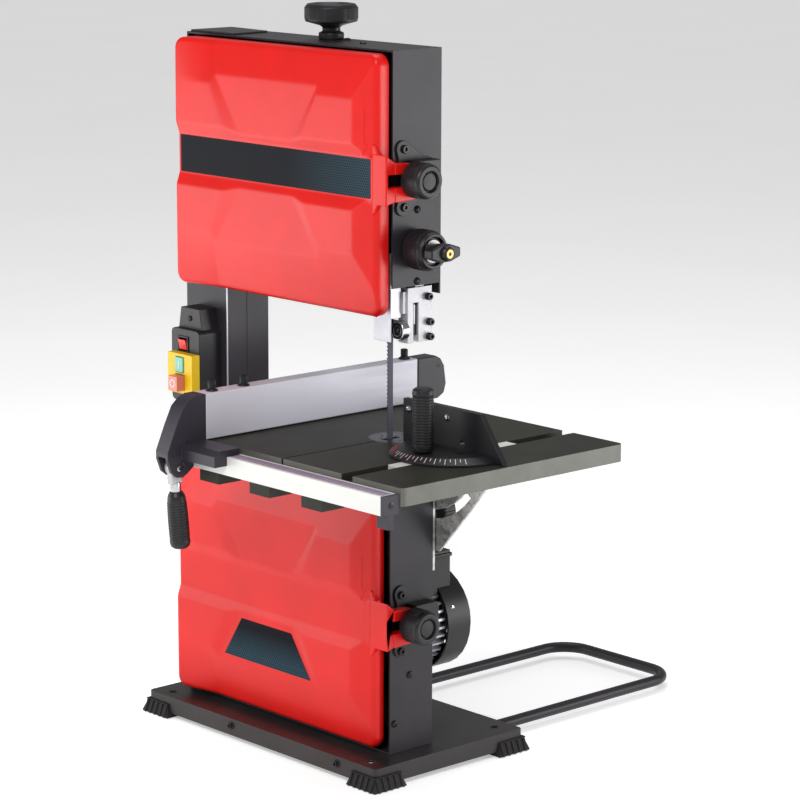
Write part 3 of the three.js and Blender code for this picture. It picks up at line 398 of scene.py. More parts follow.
def lathe(name, axis, centre, profile, material, body, slot=None, steps=64, corner=0.6,
          ribs=0, depth=0.0, where=(0, 0), closed=False, tilt=None):
    """A turned piece. Ribs flute the radius between two heights along the axis."""
    points = smooth_profile(profile, corner)
    per_rib = 6
    sides = ribs * per_rib if ribs else steps
    bm = bmesh.new()
    rings = []
    for radius, height in points:
        if radius < 1e-4:
            rings.append([bm.verts.new(along(axis, 0, 0, height) + Vector(centre))])
            continue
        ring = []
        fluted = ribs and where[0] <= height <= where[1] and radius > depth * 3
        for i in range(sides):
            t = 2 * math.pi * i / sides
            r = radius - (depth if fluted and i % per_rib >= per_rib / 2 else 0)
            ring.append(bm.verts.new(along(axis, r * math.cos(t), r * math.sin(t), height)
                                     + Vector(centre)))
        rings.append(ring)
    pairs = list(zip(rings, rings[1:])) + ([(rings[-1], rings[0])] if closed else [])
    for lower, upper in pairs:
        bridge(bm, lower, upper)
    return finish_piece(name, bm, material, body, slot, angle=40, tilt=tilt)


def disc(name, axis, centre, radius, low, high, material, body, slot=None, bevel=0.4, steps=48):
    profile = [(0, low), (radius, low), (radius, high), (0, high)]
    return lathe(name, axis, centre, profile, material, body, slot, steps, bevel)


SIGN = {"x": Vector((1, 0, 0)), "-y": Vector((0, -1, 0)), "z": Vector((0, 0, 1))}
# radius and height of each head's rings, as shares of the head's own
HEADS = {"socket": [(0, 0.35), (0.5, 0.35), (0.55, 1), (0.86, 1), (1, 0.8)],
         "pan": [(0, 0.7), (0.3, 0.75), (0.38, 1), (0.7, 0.85), (0.95, 0.45)],
         "washer": [(0, 0.4), (0.32, 0.4), (0.36, 1), (0.62, 1), (0.68, 0.4), (1, 0.3)]}


def screw(name, at, facing, radius, height, body, kind="socket", material="screw"):
    """A screw head with its recess, standing on a face."""
    points = [(radius * r, height * h) for r, h in HEADS[kind]] + [(radius, 0), (0, 0)]
    bm = bmesh.new()
    sides = 24
    rings = []
    for r, h in points:
        if r == 0:
            rings.append([bm.verts.new((0, 0, h))])
            continue
        hexed = kind != "washer" and r < radius * 0.6
        ring = []
        for i in range(sides):
            t = 2 * math.pi * i / sides
            flat = math.cos(math.pi / 6) / math.cos((t % (math.pi / 3)) - math.pi / 6)
            reach = r * (flat if hexed else 1)
            ring.append(bm.verts.new((reach * math.cos(t), reach * math.sin(t), h)))
        rings.append(ring)
    for lower, upper in zip(rings, rings[1:]):
        bridge(bm, lower, upper)
    turn = SIGN[facing].to_track_quat("Z", "Y").to_matrix().to_4x4()
    bm.transform(Matrix.Translation(at) @ turn)
    return finish_piece(name, bm, material, body, angle=30)


def join_pieces(name, pieces):
    """One object from several that ride on the same body and share a slot."""
    bm = bmesh.new()
    first = pieces[0]
    for piece in pieces:
        bm.from_mesh(piece.data)
    mesh = bpy.data.meshes.new(name)
    bm.to_mesh(mesh)
    bm.free()
    mesh.materials.append(first.data.materials[0])
    out = place(name, mesh)
    shade(mesh, 40)
    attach(out, first["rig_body"])
    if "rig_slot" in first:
        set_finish(out, first["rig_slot"])
    for piece in pieces:
        bpy.data.objects.remove(piece)
    return out


# ---- the two doors ----
UPPER = {"left": -293, "right": 17.9, "front": -41.1, "back": -17.6, "bottom": 478.3, "top": 737.8,
         "middle": 616.3}
LOWER = {"left": -303.7, "right": 11.6, "front": -38.0, "back": -17.3, "bottom": 30.2, "top": 288.0,
         "middle": 164.3}
CHANNEL = {"half": 20.2, "depth": 4.4}
SLOPE = {"outer": 0.178, "right": 0.24}
SKIN = 0.15  # how far the moulded front lies behind the solid's
RECESS = 1.7
RECESS_FROM, RECESS_TO = 31.5, 84.2  # from the middle of the height
OUTER_BEVEL_FROM, RIGHT_BEVEL_FROM = 77.2, -12.0
LEFT_RAMP = 60  # the outer bevel comes in over this width
UPPER_LATCH, LOWER_LATCH = 615.6, 163.7


def soft_max(a, b, t):
    h = np.clip(0.5 + 0.5 * (a - b) / t, 0, 1)
    return b * (1 - h) + a * h + t * h * (1 - h)


def soft_min(a, b, t):
    return -soft_max(-a, -b, t)


def door_depth(d, x, z):
    """How far the moulded front lies behind its foremost plane."""
    u = np.abs(z - d["middle"])
    sway = d["right"] - UPPER["right"]
    outer = SLOPE["outer"] * (u - OUTER_BEVEL_FROM) * np.clip((x - d["left"]) / LEFT_RAMP, 0, 1)
    right = SLOPE["right"] * (x - RIGHT_BEVEL_FROM - sway)
    # the shallow tapered recess in the middle of each half, from the channel outwards
    t = np.clip((u - RECESS_FROM) / (RECESS_TO - RECESS_FROM), 0, 1)
    left_line = (-191 + t * (-35)) + sway
    left_foot = (-212 + t * (-27)) + sway
    right_line = (-103 + t * 37) + sway
    right_foot = (-88.5 + t * 27) + sway
    wall_left = RECESS * (x - left_foot) / (left_line - left_foot)
    wall_right = RECESS * (right_foot - x) / (right_foot - right_line)
    hollow = soft_min(soft_min(wall_left, wall_right, 0.3), np.full_like(x, RECESS), 0.25)
    wall = 0.31 * (RECESS + 3.4) / 4.65
    channel = CHANNEL["depth"] - wall * np.maximum(u - CHANNEL["half"], 0)
    body = soft_max(soft_max(outer, right, 0.5), soft_max(hollow, np.zeros_like(x), 0.25), 0.3)
    body = soft_max(body, np.minimum(channel, CHANNEL["depth"]), 0.35)
    nose = CHANNEL["depth"] + 0.55 * np.maximum(u - 21.5, 0)
    return soft_min(body, nose, 0.4)


def door_shell(name, d, node, body):
    """The front as a fine surface over the outline, its rounded rim, and the sides."""
    radius, rim, pitch = 12.0, 4.2, 1.9
    cx, cz = (d["left"] + d["right"]) / 2, (d["bottom"] + d["top"]) / 2
    hx, hz = (d["right"] - d["left"]) / 2, (d["top"] - d["bottom"]) / 2
    nx, nz = int(2 * hx / pitch), int(2 * hz / pitch)

    def spaced(half, n):
        """Positions that crowd towards both edges so that the rim comes out round."""
        edge = [0, 0.35, 0.9, 1.7, 2.8, 4.2]
        inner = np.linspace(-half + 5.6, half - 5.6, n)
        return np.concatenate([[-half + e for e in edge], inner, [half - e for e in edge[::-1]]])

    xs, zs = spaced(hx, nx), spaced(hz, nz)
    gx, gz = np.meshgrid(xs, zs, indexing="ij")
    qx, qz = np.abs(gx) - (hx - radius), np.abs(gz) - (hz - radius)
    corner = (qx > 0) & (qz > 0)
    reach = np.hypot(qx, qz)
    # inside a corner square, squeeze the square's rings onto arcs
    far = np.maximum(qx, qz)
    scale = np.where(corner & (reach > 0), far / np.maximum(reach, 1e-9), 1)
    px = np.where(corner, np.sign(gx) * (hx - radius + qx * scale), gx)
    pz = np.where(corner, np.sign(gz) * (hz - radius + qz * scale), gz)
    inside = np.where(corner, radius - far, np.minimum(hx - np.abs(gx), hz - np.abs(gz)))
    drop = np.where(inside < rim, rim - np.sqrt(np.maximum(rim ** 2 - (rim - inside) ** 2, 0)), 0)
    x, z = px + cx, pz + cz
    y = d["front"] + SKIN + door_depth(d, x, z) + drop
    count_x, count_z = x.shape
    points = np.stack([x, y, z], -1).reshape(-1, 3)
    index = np.arange(count_x * count_z).reshape(count_x, count_z)
    quads = np.stack([index[:-1, :-1], index[1:, :-1], index[1:, 1:], index[:-1, 1:]], -1)
    ring = np.concatenate([index[:, 0], index[-1, 1:], index[::-1, -1][1:], index[0, ::-1][1:-1]])
    rings, last = [points], ring
    faces = [quads.reshape(-1, 4)]
    total = len(points)
    for y_back in (d["front"] + 13.6, d["back"] - 1.2, d["back"]):
        pull = 0.8 if y_back == d["back"] else 0.0
        p = points[ring].copy()
        p[:, 1] = y_back
        p[:, 0] -= np.sign(p[:, 0] - cx) * pull
        p[:, 2] -= np.sign(p[:, 2] - cz) * pull
        new = np.arange(total, total + len(ring))
        rings.append(p)
        nxt_old, nxt_new = np.roll(last, -1), np.roll(new, -1)
        faces.append(np.stack([last, new, nxt_new, nxt_old], -1))
        last, total = new, total + len(ring)
    mesh = bpy.data.meshes.new(name)
    mesh.from_pydata(np.concatenate(rings).tolist(), [], np.concatenate(faces).tolist())
    bm = bmesh.new()
    bm.from_mesh(mesh)
    bmesh.ops.remove_doubles(bm, verts=bm.verts, dist=1e-4)
    bmesh.ops.recalc_face_normals(bm, faces=bm.faces)
    if sum(f.normal.y * f.calc_area() for f in bm.faces) > 0:
        bmesh.ops.reverse_faces(bm, faces=bm.faces)
    shell = finish_piece(name, bm, "red", body, "red_paint", angle=50, outward=False)
    thick = shell.modifiers.new("sheet", "SOLIDIFY")
    thick.thickness = 0.0018
    thick.offset = -1
    apply_modifiers(shell)
    shade(shell.data, 50)
    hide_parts(node)


def door_furniture(prefix, d, latch_z, body):
    """The latch nose, the hinge knuckles and the moulded direction arrow."""
    paint = ("red", body, "red_paint")
    floor = d["front"] + SKIN + CHANNEL["depth"]
    right = d["right"]
    side = [(floor, latch_z + 26), (-23.6, latch_z + 17.5), (-23.6, latch_z - 21.2),
            (floor, latch_z - 24.5)]
    root = prism(prefix + "_nose", "x", right - 4, 34.2, side, *paint, 0)
    slot = block("slot_tool", (22, 40), (-33, 3), (latch_z - 7, latch_z + 6), "red", body, bevel=0)
    cut_away(root, slot)
    round_edges(root, 1.4, 3)
    flare = [(right + a, latch_z + b)
             for a, b in ((-5, 36), (-1.5, 34), (0.2, 30), (2.4, 27), (5.4, 25.2), (5.4, -23.4),
                          (2.4, -26), (0.2, -29), (-1.5, -33), (-5, -35))]
    prism(prefix + "_nose_root", "y", floor + 0.5, floor + 7, flare, *paint, 1.6, 3)
    arms = []
    for low, high, drop, step in ((6, 15.8, 0, 1.6), (-20.4, -7, 1.0, 0)):
        low, high = latch_z + low, latch_z + high
        outline = [(-25, low - drop), (-25, high + step), (1.8, high - 0.8), (1.8, low)]
        arms.append(prism("arm", "x", 22.4, 35, outline, *paint, 0.9, 3))
    join_pieces(prefix + "_fork", arms)
    hinge_x = d["left"] - 6
    middle = (d["bottom"] + d["top"]) / 2
    for tag, side in (("low", -1), ("high", 1)):
        z = middle + side * (d["top"] - d["bottom"] - 48) / 4
        lathe(f"{prefix}_{tag}_knuckle", "z", (hinge_x, -21, 0),
              [(2.5, z - 22), (4, z - 22), (4, z + 22), (2.5, z + 22)], *paint, 32, 0.5, closed=True)
        block(f"{prefix}_{tag}_leaf", (hinge_x + 2.8, d["left"] + 1.5), (-24.6, -19.4),
              (z - 21.5, z + 21.5), *paint, 0.6)
    # the arrow stands just proud of the bevel, following its slope
    lean = math.degrees(math.atan(SLOPE["right"]))
    base_x, base_z = right - 16.5, d["middle"] + 48
    base_y = float(door_depth(d, np.array([base_x]), np.array([base_z]))[0]) + d["front"] + SKIN
    outline = [(-1.6, 68), (1.6, 68), (1.6, 34), (6, 34), (0, 22), (-6, 34), (-1.6, 34)]
    shifted = [(base_x + a, d["middle"] + b) for a, b in outline]
    prism(prefix + "_arrow", "y", base_y - 0.35, base_y + 0.8, shifted, *paint, 0.25, 2,
          tilt=(Vector((base_x, base_y, base_z)), "Z", lean))


door_shell("upper_door_shell", UPPER, "upper_door", "upper_door_body")
door_shell("lower_door_shell", LOWER, "lower_door", "lower_door_body")
door_furniture("upper_door", UPPER, UPPER_LATCH, "upper_door_body")
door_furniture("lower_door", LOWER, LOWER_LATCH, "lower_door_body")

stripe_y = UPPER["front"] + SKIN + CHANNEL["depth"]
block("upper_door_stripe", (-287.5, 11.5), (stripe_y - 0.35, stripe_y + 0.6), (596.8, 635.8),
      "stripe", "upper_door_body", bevel=0.15)
badge_y = LOWER["front"] + SKIN + RECESS
sway = LOWER["right"] - UPPER["right"]
badge = [(-187 + sway, 128.5), (-106 + sway, 128.5), (-75 + sway, 84), (-216 + sway, 84)]
prism("lower_door_badge", "y", badge_y - 0.35, badge_y + 0.6, badge, "badge", "lower_door_body",
      bevel=0.15)

# ---- housings, column and base ----
for node, material, width in (
        ("upper_housing", "black_sheet", 1.0), ("lower_housing", "black_sheet", 1.0),
        ("column", "black_sheet", 1.2), ("base_pan", "pan", 1.6),
        ("lower_guide", "block", 0.5), ("carriage_channel", "zinc", 0.4),
        ("wheel_carriage", "steel", 0.6), ("wheel_carrier", "steel", 0.5),
        ("drive_belt", "rubber", 0.4), ("lower_axle", "steel", 0.4),
        ("motor_rotor", "steel", 0.4), ("capacitor_box", "black", 1.2),
        ("trunnion_bracket", "zinc", 0.5), ("table_trunnion", "zinc", 0.5),
        ("front_rail", "white", 0.5), ("rail_end_cap", "violet_black", 0.6),
        ("fence_rear_cap", "violet_black", 1.5), ("fence_head", "violet_black", 1.2),
        ("mitre_bar", "white", 0.4), ("guide_post", "steel", 0.5), ("guide_block", "block", 0.7),
        ("blade_guard", "aluminium", 0.35), ("switch_box", "black", 0.9),
        ("switch_cover", "yellow", 0.9), ("rocker_switch", "rocker", 0.4),
        ("start_button", "green", 0.5), ("stop_button", "stop", 0.7)):
    softened(node, material, width)


TRIM = ("black", "frame", "black_plastic")
RUBBER = ("rubber", "frame", "rubber")


def latch_bracket(node, z, edge):
    """A screwed plate with two round ears, and the boss that the latch screw turns in."""
    ear = 8.8
    outline = [*arc(-3, z + 28.4, ear, 52, 200, 10), (-6.5, z + 8), (-6.5, z - 8),
               *arc(-3, z - 29.2, ear, 160, 308, 10), (22, z - 18.5), (36, z - 17.8), (36, z + 17.5),
               (24, z + 20.5)]
    plate = prism(node + "_look", "x", edge, edge + 2.3, outline, *TRIM, 0.7)
    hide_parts(node)
    boss = [(4, z - 17.8), (36, z - 17.8), (36, z + 16.5), (33, z + 17.5), (4, z + 17.5)]
    prism(node + "_boss", "x", edge + 1, 35.7, boss, *TRIM, 1.2, 3)


latch_bracket("upper_latch_bracket", UPPER_LATCH, 20.2)
latch_bracket("lower_latch_bracket", LOWER_LATCH, 19.2)

# feet: the flared block with five upright ribs on each outer side
for sx, sy, node in ((-1, -1, "foot_front_left"), (1, -1, "foot_front_right"),
                     (-1, 1, "foot_rear_left"), (1, 1, "foot_rear_right")):
    x, y = (-326.8 if sx < 0 else 44.0), (-58.5 if sy < 0 else 149.7)
    inner = 32.6  # the block's far corner, from its near one
    bm = bmesh.new()
    rings = []
    for out, z in ((5.4, 0.0), (5.8, 0.8), (0.6, 14.6), (0.2, 15.0)):
        near_x, far_x = x + sx * out, x - sx * (inner + out)
        near_y, far_y = y + sy * out, y - sy * (inner + out)
        corners = ((near_x, near_y), (far_x, near_y), (far_x, far_y), (near_x, far_y))
        rings.append([bm.verts.new((a, b, z)) for a, b in corners])
    fill_sweep(bm, rings)
    core = finish_piece(node + "_look", bm, *RUBBER)
    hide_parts(node)
    round_edges(core, 0.5)
    ribs = [block("cap", sorted((x + sx * 2.4, x - sx * 35)), sorted((y + sy * 2.4, y - sy * 35)),
                  (13.6, 15.0), *RUBBER, 0.5)]
    fin = [(0.4, 14.4), (2.4, 14.4), (7.3, 0.3), (4.0, 0.3)]
    for i in range(5):
        across = 0.6 + 8.1 * i
        for axis, middle, start, sign in (("y", y - sy * across, x, sx), ("x", x - sx * across, y, sy)):
            outline = [(start + sign * a, b) for a, b in fin]
            ribs.append(prism("rib", axis, middle - 1.3, middle + 1.3, outline, *RUBBER, 0.35))
    join_pieces(node + "_ribs", ribs)


def ring_at(bm, centre, out, radius, sides):
    """A ring of vertices in the plane of a level direction and the vertical."""
    turns = [2 * math.pi * k / sides for k in range(sides)]
    return [bm.verts.new(centre + out * radius * math.cos(t) + Vector((0, 0, 1)) * radius * math.sin(t))
            for t in turns]


def tube(name, route, radius, material, body, node, slot, sides=20):
    """A round tube swept along points that all lie at one height."""
    bm = bmesh.new()
    rings = []
    points = [Vector(p) for p in route]
    for i, p in enumerate(points):
        ahead = (points[min(i + 1, len(points) - 1)] - points[max(i - 1, 0)]).normalized()
        across = ahead.cross(Vector((0, 0, 1))).normalized()
        rings.append(ring_at(bm, p, across, radius, sides))
    fill_sweep(bm, rings)
    piece = finish_piece(name, bm, material, body, slot)
    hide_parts(node)


left, right, back, bend = -178, -6, 440, 35
corner_left = [(a, b, 12) for a, b in arc(left + bend, back - bend, bend, 180, 90, 14)]
corner_right = [(a, b, 12) for a, b in arc(right - bend, back - bend, bend, 90, 0, 14)]
tube("stabiliser_tube_look", [(left, 118, 12), (left, 200, 12), (left, 300, 12), *corner_left,
     *corner_right, (right, 300, 12), (right, 200, 12), (right, 118, 12)], 6, "black_sheet", "frame",
     "stabiliser_tube", "black_sheet")

# ---- knobs ----
WHEEL_X, LOWER_WHEEL_Z, UPPER_WHEEL_Z = -123.15, 160, 609
GUIDE_KNOB = (0, 14, 544)
tension = lathe("tension_knob_look", "z", (WHEEL_X, 30, 0),
    [(0, 643), (4, 643), (4, 741.6), (13, 741.6), (13, 748), (9.2, 749.8), (9.2, 753.5), (12, 755.5),
     (19, 757.5), (26.6, 759.6), (27.2, 762), (27.2, 774), (24.5, 777.4), (20, 778), (17.6, 776.6),
     (16.4, 775.4), (0, 775.4)], "black", "tension", "black_plastic", 96, 0.7)
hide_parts("tension_knob")
grips = []
for i in range(8):
    for k in range(6):
        t = math.radians(45 * i + (k - 2.5) * 3.6 + 4)
        at = (WHEEL_X + 26.5 * math.cos(t), 30 + 26.5 * math.sin(t), 0)
        grips.append(lathe("grip", "z", at, [(0, 761.8), (1.0, 762.4), (1.0, 773.6), (0, 774.6)],
                           "black", "tension", "black_plastic", 8, 0.3))
join_pieces("tension_knob_ribs", grips)


def latch_knob(level, z, radius=18, low=36.4, high=62):
    """A ribbed knob on the right-hand side, dished in its outer face."""
    look = lathe(level + "_latch_knob_look", "x", (0, -3, z),
        [(0, low), (radius - 3, low), (radius - 1, low + 1.2), (radius, low + 2.4), (radius, high - 6),
         (radius - 0.8, high - 5.8), (radius - 0.8, high - 2.2), (radius - 3, high),
         (radius * 0.60, high), (radius * 0.56, high - 3.4), (radius * 0.50, high - 3.6),
         (radius * 0.47, high - 1.6), (0, high - 1.6)], "black", level + "_latch", "black_plastic",
        corner=0.5, ribs=44, depth=0.55, where=(low + 2, high - 5.9))
    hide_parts(level + "_latch_knob")


for level, z in (("upper", UPPER_LATCH), ("lower", LOWER_LATCH)):
    latch_knob(level, z)
for level, z, edge in (("upper", UPPER_LATCH, 20.9), ("lower", LOWER_LATCH, 19.9)):
    disc(level + "_latch_screw", "x", (0, -3, z), 3, edge, 37, "screw", level + "_latch", bevel=0.2)
height = lathe("height_knob_look", "x", GUIDE_KNOB,
    [(3.4, 1), (5.8, 1), (5.8, 23.9), (18.5, 24), (20, 25), (20.5, 26.5), (20.5, 43), (19.2, 43.4),
     (19.2, 46.5), (17.4, 50), (14.4, 50), (13.6, 46.5), (3.4, 46.5)], "black", "height_adjuster",
    "black_plastic", corner=0.5, ribs=52, depth=0.55, where=(26, 43.1), closed=True)
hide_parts("height_knob")
lathe("height_knob_disc", "x", GUIDE_KNOB, [(3.4, 46.4), (11.6, 46.4), (11.6, 48), (3.4, 48)],
      "steel", "height_adjuster", None, 48, 0.3, closed=True)
clamp = lathe("guide_clamp_knob_look", "x", GUIDE_KNOB,
    [(0, 0.6), (2.8, 0.6), (2.8, 50.6), (6.6, 51), (6.6, 57), (7.6, 58), (7.6, 69), (6, 71.6),
     (4.2, 72), (0, 72)], "black", "guide_clamp", "black_plastic", 40, 0.6)
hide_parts("guide_clamp_knob")
wing = [(GUIDE_KNOB[1] + a, GUIDE_KNOB[2] + b) for a, b in (
    (19.5, 4.4), (6, 8.8), (-6, 8.8), (-19.5, 4.4), (-19.5, -4.4), (-6, -8.8), (6, -8.8), (19.5, -4.4))]
prism("guide_clamp_wings", "x", 55, 67, wing, "black", "guide_clamp", "black_plastic", 1.6, 3)
lathe("guide_clamp_insert", "x", GUIDE_KNOB, [(1.9, 70.2), (1.9, 72.3), (4.6, 72.3), (4.6, 70.2)],
      "brass", "guide_clamp", None, 32, 0.2, closed=True)
for name, node, at, low, flat, high, radius, body in (
        ("tracking_knob_look", "tracking_knob", (WHEEL_X, 0, 632), 38.5, 54, 78, 16, "tracking"),
        ("tilt_lock_knob_look", "tilt_lock_knob", (0, 0, 264.6), 43.4, 51.8, 77, 19, "tilt_lock")):
    look = lathe(name, "y", at,
        [(0, low), (4, low), (4, flat), (9, flat), (9, flat + 6), (radius - 1, flat + 8),
         (radius, flat + 9.5), (radius, high - 2.5), (radius - 2.5, high), (0, high)],
        "black", body, "black_plastic", corner=0.5, ribs=24, depth=0.9, where=(flat + 9, high - 2))
    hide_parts(node)

# ---- wheels, band and drive ----
def band_wheel(name, node, z, bore, body, pulley):
    rim, hub = 118.6, 18
    profile = [(bore, -11), (hub, -11), (hub, -3), (rim - 9, -3), (rim - 9, -9), (rim, -9), (rim, 9),
               (rim - 9, 9), (rim - 9, 3), (hub, 3), (hub, 11)]
    profile += [(hub, 14), (42, 14), (42, 28), (bore, 28)] if pulley else [(bore, 11)]
    wheel = lathe(name, "y", (WHEEL_X, 0, z), profile, "cast", body, "cast_wheel", 96, 0.8, closed=True)
    cutters = []
    for i in range(6):
        t = math.radians(60 * i + 30)
        at = (WHEEL_X + 72 * math.cos(t), 0, z + 72 * math.sin(t))
        cutters.append(disc("window", "y", at, 21, -6, 6, "cast", body, steps=40))
    cut_away(wheel, join_pieces("windows", cutters))
    wheel.data.set_sharp_from_angle(angle=math.radians(40))
    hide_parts(node)


band_wheel("lower_wheel_look", "lower_wheel", LOWER_WHEEL_Z, 7.4, "lower_wheel_body", True)
band_wheel("upper_wheel_look", "upper_wheel", UPPER_WHEEL_Z, 6.4, "upper_wheel_body", False)
for level, z in (("lower", LOWER_WHEEL_Z), ("upper", UPPER_WHEEL_Z)):
    look = lathe(level + "_tyre_look", "y", (WHEEL_X, 0, z),
                 [(119, -9), (122, -9), (122, 9), (119, 9)], "rubber", level + "_wheel_body",
                 "rubber", 96, 0.5, closed=True)
    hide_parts(level + "_tyre")


def toothed_band():
    """The endless band, with a raked tooth every four millimetres on its front edge."""
    radius, rise, pitch, tooth, thick, half = 122.8, UPPER_WHEEL_Z - LOWER_WHEEL_Z, 4.0, 1.5, 0.7, 4
    lap = 2 * rise + 2 * math.pi * radius
    count = round(lap / pitch)
    bm = bmesh.new()
    rows = []
    for i in range(count * 2):
        s = lap * i / (count * 2)
        front = -half if i % 2 == 0 else -half + tooth
        s += 0 if i % 2 == 0 else -pitch * 0.22
        s %= lap
        if s < rise:
            x, z, nx, nz = radius, s, 1, 0
        elif s < rise + math.pi * radius:
            t = (s - rise) / radius
            x, z, nx, nz = radius * math.cos(t), rise + radius * math.sin(t), math.cos(t), math.sin(t)
        elif s < 2 * rise + math.pi * radius:
            x, z, nx, nz = -radius, 2 * rise + math.pi * radius - s, -1, 0
        else:
            t = math.pi + (s - 2 * rise - math.pi * radius) / radius
            x, z, nx, nz = radius * math.cos(t), radius * math.sin(t), math.cos(t), math.sin(t)
        inner = Vector((WHEEL_X + x, 0, LOWER_WHEEL_Z + z))
        outer = inner + Vector((nx, 0, nz)) * thick
        section = ((inner, front), (outer, front), (outer, half), (inner, half))
        rows.append([bm.verts.new(point + Vector((0, y, 0))) for point, y in section])
    for a, b in zip(rows, rows[1:] + rows[:1]):
        bridge(bm, a, b)
    look = finish_piece("saw_blade_look", bm, "blade", "frame", "steel", angle=30)
    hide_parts("saw_blade")


toothed_band()


def coil():
    turns, radius, wire = 5, 5.8, 1.0
    low, high = UPPER_WHEEL_Z + 50.3 + wire, UPPER_WHEEL_Z + 81.7 - wire
    bm = bmesh.new()
    rings, sides, steps = [], 10, 160
    for i in range(steps + 1):
        t = 2 * math.pi * turns * i / steps
        out = Vector((math.cos(t), math.sin(t), 0))
        centre = out * radius + Vector((WHEEL_X, 30, low + (high - low) * i / steps))
        rings.append(ring_at(bm, centre, out, wire, sides))
    fill_sweep(bm, rings)
    look = finish_piece("tension_spring_look", bm, "steel", "carriage", "steel", angle=60)
    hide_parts("tension_spring")


coil()

# motor: shell with cooling fins, and the vented fan cover
MOTOR = (-59, 134)
FINS, outline = 36, []
for i in range(FINS):
    t = 360 * i / FINS
    outline += arc(*MOTOR, 50, t - 1.4, t + 1.4, 2) + arc(*MOTOR, 43, t + 2.6, t + 7.4, 3)
shell = prism("motor_body_look", "y", 48, 86.9, outline, "aluminium", "frame", "aluminium", 0)
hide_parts("motor_body")
flange = []
for sx, sy, start in ((1, -1, -90), (1, 1, 0), (-1, 1, 90), (-1, -1, 180)):
    flange += arc(MOTOR[0] + 30 * sx, MOTOR[1] + 30 * sy, 14, start, start + 90, 6)
prism("motor_flange", "y", 42.9, 48.9, flange, "aluminium", "frame", "aluminium", 0.6)
softened("fan_cover", "black", 0.7)
t = math.radians(20)
screw("fan_cover_screw", (MOTOR[0] + 54.9 * math.cos(t) - 1.2, 97, MOTOR[1] + 54.9 * math.sin(t)), "x",
      3.2, 1.0, "frame", "pan", "chrome")

# ---- table ----
EDGES = {"left": -126, "right": 174, "front": -141.5, "back": 158.5}
table = softened("saw_table", "table", 1.6, 3)
# The table's sides take the lighter edge colour. Its top bevel faces take the same colour as a painted
# highlight along the top edges.
table.data.materials.append(M["table_side_and_painted_highlight"])
for polygon in table.data.polygons:
    spot = TO_ROW.inverted() @ polygon.center
    rim = min(spot.x - EDGES["left"], EDGES["right"] - spot.x, spot.y - EDGES["front"],
              EDGES["back"] - spot.y)
    # top bevel faces near the rim: the lighter colour here is a painted highlight
    painted_highlight_lip = 347.9 < spot.z and 0.05 < abs(polygon.normal.z) < 0.97
    if painted_highlight_lip or (abs(polygon.normal.z) < 0.5 and spot.z > 332.2 and rim < 4):
        polygon.material_index = 1
insert = lathe("table_insert_look", "z", (0, 8, 0), [(24.8, 349.55), (27.5, 349.55), (27.5, 347.2),
               (24.8, 347.2)], "insert", "table", "aluminium", 72, 0.2, closed=True)
face = prism("table_insert_face", "z", 347.3, 349.45, arc(0, 8, 26, 0, 355, 71), "insert", "table",
             "aluminium", 0)
holes = [block("slot_tool", (-3.5, 3.5), (-9, 12), (340, 355), "table", "table", bevel=0)]
for i in range(8):
    t = math.radians(45 * i + 22)
    holes.append(disc("hole", "z", (15.5 * math.cos(t), 8 + 15.5 * math.sin(t), 0), 1.5, 340, 355,
                      "table", "table", steps=16))
cut_away(face, join_pieces("insert_holes", holes))
face.data.set_sharp_from_angle(angle=math.radians(40))
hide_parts("table_insert")

# the scale on the rail's top
block("rail_scale_strip", (-60, 165), (-158.5, -146), (343.7, 344.06), "violet_scale", "table",
      bevel=0.1)
marks = []
for i in range(44):
    x = -55 + 5 * i
    long = i % 2 == 0
    marks.append(block("mark", (x - 0.25, x + 0.25), (-158 if long else -156, -152.5), (343.9, 344.14),
                       "print", "table", bevel=0))
join_pieces("rail_scale_marks", marks)

# ---- fence ----
softened("fence_profile", "fence", 0.9)
FENCE_X = -122.5
for tag, y in (("front", -130.6), ("second", -89.4), ("rear", 131.5)):
    lathe(f"fence_{tag}_washer", "z", (FENCE_X, y, 0),
          [(0, 397.4), (6.6, 397.4), (6.2, 398.6), (4.6, 399.8), (0, 399.8)], "screw", "fence", None, 32, 0.3)
    lathe(f"fence_{tag}_screw", "z", (FENCE_X, y, 0),
          [(0, 399.5), (3.9, 399.5), (3.9, 407.6), (3.2, 408.4), (1.9, 408.4), (1.9, 406), (0, 406)],
          "screw", "fence", None, corner=0.25, ribs=20, depth=0.35, where=(400, 407.8))
lathe("fence_head_hole", "x", (0, -176, 330), [(0, -112.9), (2.2, -112.9), (2.6, -112.4), (3.4, -112.4),
      (3.4, -113), (0, -113)], "screw", "fence", None, 32, 0.1)
for tag, y, z, r in (("head", -170, 351, 2.6), ("cap", 172, 387, 2.4)):
    lathe(f"fence_{tag}_screw", "x", (0, y, z), [(0, -113.2), (r, -113.2), (r, -112.5), (r - 1.1, -112.4),
          (r - 1.3, -113), (0, -113)], "screw", "fence", None, 32, 0.1)
lever_tilt = (Vector((FENCE_X, -180, 326)), "X", 5)
yoke = lathe("fence_lever_yoke", "x", (0, -180, 326),
             [(0, -127.9), (8, -127.9), (8, -117.1), (0, -117.1)], "block", "fence_cam", "chrome", 40, 0.8)
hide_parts("fence_lever")
block("fence_lever_neck", (-127, -118), (-186.5, -173.5), (309, 326), "block", "fence_cam", "chrome",
      1.6, 3, lever_tilt)
disc("fence_lever_pin", "x", (0, -180, 326), 3, -131.9, -113.1, "chrome", "fence_cam", "chrome", 0.4)
lathe("fence_lever_shaft", "z", (FENCE_X, -180, 0), [(0, 298), (5.4, 298), (5.4, 311), (0, 311)],
      "chrome", "fence_cam", "chrome", 40, 0.4, tilt=lever_tilt)
grip = [(0, 242), (7, 242), (9.6, 244.2), (10.6, 248)]
for i in range(14):
    z = 250.5 + 2.9 * i
    swell = 10.5 - 0.7 * abs((i - 5) / 9) ** 2
    grip += [(swell, z), (swell, z + 1.6), (swell - 0.5, z + 1.9), (swell - 0.5, z + 2.6)]
grip += [(9.4, 292.5), (8.6, 297), (6.6, 300.5), (5.4, 301.5), (0, 301.5)]
